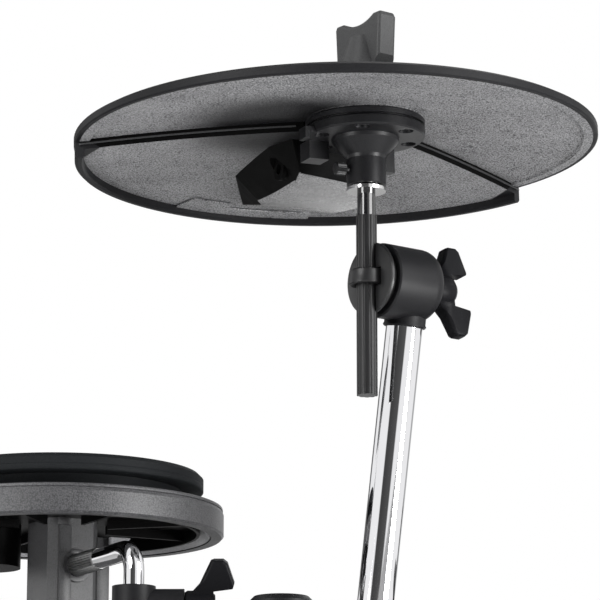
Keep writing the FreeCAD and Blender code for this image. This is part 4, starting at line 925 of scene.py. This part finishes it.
drumCopies = {"head": "headRubber", "sensor": "plainSteel", "shell": ("drumShell", "panBlack"),
              "jack": "jackMetal", "block": "blockGrey", "block_screw": "gripBlack"}
homeDrum = drumFrames("tom1")
dress("tom1_shell", "drumShell", "panBlack")
dressPart("tom1_shell", homeDrum["pad"],
          lambda spot, way: math.hypot(spot.x, spot.y) < drum["panEdge"] and spot.z < drum["panTop"])
for name in ("tom1", "tom2", "snare", "tom3"):
    frames = drumFrames(name)
    body = name + "_pad"
    makeHeadTrim(name, frames["pad"], body)
    makeRimBead(name, frames["pad"], body)
    makeLedge(name, frames["pad"], body)
    makeBlockTrim(name, frames["pad"], body)
    makeSleeve(name, frames["knee"], frames["pad"], name + "_rod")
    if name != "tom1":
        shift = frames["pad"] @ homeDrum["pad"].inverted()
        for label, material in drumCopies.items():
            cadCopy("tom1_" + label, name + "_" + label, shift, material, body,
                    hides=(body,) if label == "head" else ())
print("drum stations made")

# sound module: its frame stands in the middle of the case's bottom
moduleCase = {"button": (-78.0, 40.0), "high": 42.0}


def moduleFrame():
    start = Vector(joints["module_button_1_press"]["pos_m"])
    right = (Vector(joints["module_button_3_press"]["pos_m"]) - start).normalized()
    place = axes(start, right, joints["module_dial_turn"]["axis"])
    x, y = moduleCase["button"]
    return place @ Matrix.Translation(millimetres @ Vector((-x, -y, -moduleCase["high"])))


# bars on the screen
bars = {"heights": (5, 9, 14, 20, 17, 24, 19, 12, 7), "wide": 5.0, "thick": 0.3, "pitch": 8.4, "from": -78.0,
        "inset": 8.0}


def makeScreenBars(place):
    bm = bmesh.new()
    reach = extents("module_screen", place)
    base, level = reach[1][1] - bars["inset"], reach[2][1]
    for count, high in enumerate(bars["heights"]):
        x = bars["from"] + count * bars["pitch"]
        slab(bm, (x, base - high / 2, level), (bars["wide"], high, bars["thick"]))
    finishPiece("screenBars", bm, place, "segmentPale", "rack")


# ribbed caps with a pointer on the two knobs
knobs = {
    "dial": {"node": "module_dial", "at": (58.0, 8.0), "ribs": 1.1, "teeth": 60},
    "volume": {"node": "module_volume", "at": (86.0, -44.0), "ribs": 0.7, "teeth": 36},
}
cap = {"gap": 1.0, "inside": 1.0, "skirt": 1.2, "shoulder": 0.6, "proud": 0.4, "land": 3.4, "dish": 4.0,
       "dishDeep": 0.2, "cut": 0.7, "pointerAt": 6.2, "pointer": (1.2, 3.6, 0.5)}


def makeCap(name, module, knob):
    bm = bmesh.new()
    place = module @ Matrix.Translation(millimetres @ Vector((*knob["at"], 0)))
    reach = extents(knob["node"], place)
    radius, low, high = reach[0][1], moduleCase["high"] + cap["gap"], reach[2][1]
    outer, top = radius + knob["ribs"], high + cap["proud"]
    skirt = lathe(bm, [(radius - cap["inside"], low), (outer, low), (outer, high - cap["skirt"]),
                       (radius - cap["shoulder"], top), (radius - cap["land"], top),
                       (radius - cap["dish"], high - cap["dishDeep"])], knob["teeth"], ring=True)
    knurl(skirt, Matrix(), knob["teeth"], knob["ribs"] * cap["cut"], outer - toothGap)
    slab(bm, (0, radius - cap["pointerAt"], high), cap["pointer"])
    finishPiece(name + "Cap", bm, place, "knobBlack", knob["node"], angle=25.0)


module = moduleFrame()
makeScreenBars(module)
for name, knob in knobs.items():
    makeCap(name, module, knob)

# pedals: rounded tread bars across each foot board
tread = {"bars": 9, "deep": 7.0, "high": 2.0, "sunk": 0.4, "inset": 7.0, "ends": (18.0, 39.6), "round": 0.8,
         "faceUp": 0.5}


def makeTread(name, node, joint):
    tops = [face for face in nodes[node].data.polygons if face.normal.z > tread["faceUp"]]
    up = max(tops, key=lambda face: face.area).normal
    place = axes(joints[joint]["pos_m"], joints[joint]["axis"], up)
    (left, right), (near, far) = extents(node, place)[:2]
    level = surfaceLevel(node, place, 0, (near + far) / 2) + tread["high"] / 2 - tread["sunk"]
    start, stop = near + tread["ends"][0], far - tread["ends"][1]
    spans = (right - left - 2 * tread["inset"], tread["deep"], tread["high"])
    bm = bmesh.new()
    for count in range(tread["bars"]):
        y = start + (stop - start) * count / (tread["bars"] - 1)
        slab(bm, ((left + right) / 2, y, level), spans)
    roundOff(bm, tread["round"], 2)
    finishPiece(name + "Tread", bm, place, "footRubber", node)


for name in ("kick", "hihat"):
    makeTread(name, name + "_board", name + "_board_press")
print("module and pedals trimmed")

# studio: pale floor, white world with darker flags beside the camera for the metal to mirror
studio = {
    "floorHalf": 4.0, "floorColour": (0.86, 0.86, 0.86), "floorRough": 0.6, "worldDiffuse": 0.36,
    "flags": ((0.00, 0.15), (0.10, 0.15), (0.13, 1.00), (0.39, 1.00), (0.405, 0.06), (0.53, 0.09),
              (0.55, 1.00), (0.64, 1.00), (0.655, 0.70), (0.705, 0.70), (0.72, 1.00), (0.84, 1.00),
              (0.86, 0.45), (0.91, 0.45), (0.93, 1.00)),
}

floorMesh = bmesh.new()
bmesh.ops.create_grid(floorMesh, x_segments=1, y_segments=1, size=studio["floorHalf"])
floorData = bpy.data.meshes.new("studioFloor")
floorMesh.to_mesh(floorData)
floorMesh.free()
floor = bpy.data.objects.new("studioFloor", floorData)
scene.collection.objects.link(floor)
floorMaterial = bpy.data.materials.new("studioFloor")
floorMaterial.use_nodes = True
floorShader = floorMaterial.node_tree.nodes["Principled BSDF"]
floorShader.inputs["Base Color"].default_value = (*studio["floorColour"], 1)
floorShader.inputs["Roughness"].default_value = studio["floorRough"]
floorData.materials.append(floorMaterial)

world = bpy.data.worlds.new("studioWorld")
scene.world = world
world.use_nodes = True
tree = world.node_tree
sky = tree.nodes["Background"]
path = tree.nodes.new("ShaderNodeLightPath")
where = tree.nodes.new("ShaderNodeTexCoord")
split = tree.nodes.new("ShaderNodeSeparateXYZ")
tree.links.new(where.outputs["Generated"], split.inputs[0])
around = maths(tree, "ARCTAN2", split.outputs["X"], maths(tree, "MULTIPLY", split.outputs["Y"], -1.0))
flags = tree.nodes.new("ShaderNodeValToRGB")
flags.color_ramp.interpolation = "EASE"
for spare in list(flags.color_ramp.elements)[1:]:
    flags.color_ramp.elements.remove(spare)
for count, (turn, tone) in enumerate(studio["flags"]):
    stop = flags.color_ramp.elements.new(turn) if count else flags.color_ramp.elements[0]
    stop.position = turn
    stop.color = (tone, tone, tone, 1)
tree.links.new(maths(tree, "ADD", maths(tree, "DIVIDE", around, math.tau), 0.5), flags.inputs[0])
clear = maths(tree, "MAXIMUM", path.outputs["Is Camera Ray"], path.outputs["Is Transmission Ray"])
mirrored = maths(tree, "MULTIPLY", path.outputs["Is Glossy Ray"], flags.outputs[0])
dull = maths(tree, "MULTIPLY", path.outputs["Is Diffuse Ray"], studio["worldDiffuse"])
level = maths(tree, "MAXIMUM", maths(tree, "MAXIMUM", clear, mirrored), dull)
sky.inputs["Color"].default_value = (1, 1, 1, 1)
tree.links.new(level, sky.inputs["Strength"])

lamps = {
    "keyLamp": {"at": (-1.6, -2.4, 2.4), "aim": (0.2, 0, 0.7), "size": 1.8, "power": 68.0},
    "fillLamp": {"at": (2.4, -1.6, 1.6), "aim": (0.2, 0, 0.7), "size": 1.6, "power": 40.0},
    "lowLamp": {"at": (-1.3, -1.5, 0.15), "aim": (0.3, -0.1, 0.95), "size": 1.0, "power": 26.0},
    "sideLamp": {"at": (2.0, -1.1, 0.2), "aim": (0.3, -0.1, 0.95), "size": 1.0, "power": 56.0},
}
for name, lamp in lamps.items():
    light = bpy.data.lights.new(name, "AREA")
    light.shape = "DISK"
    light.size = lamp["size"]
    light.energy = lamp["power"]
    source = bpy.data.objects.new(name, light)
    source.location = lamp["at"]
    source.rotation_euler = (Vector(lamp["aim"]) - Vector(lamp["at"])).to_track_quat("-Z", "Y").to_euler()
    scene.collection.objects.link(source)

view = {"fromBall": (-0.0396, -1.757, -0.4862), "pitch": 103.1, "angle": 11.257}
lens = bpy.data.cameras.new("photoCamera")
lens.sensor_fit = "HORIZONTAL"
lens.angle = math.radians(view["angle"])
camera = bpy.data.objects.new("photoCamera", lens)
camera.location = Vector(joints["crash_rock"]["pos_m"]) + Vector(view["fromBall"])
camera.rotation_euler = (math.radians(view["pitch"]), 0, 0)
scene.collection.objects.link(camera)
scene.camera = camera
print("studio set")
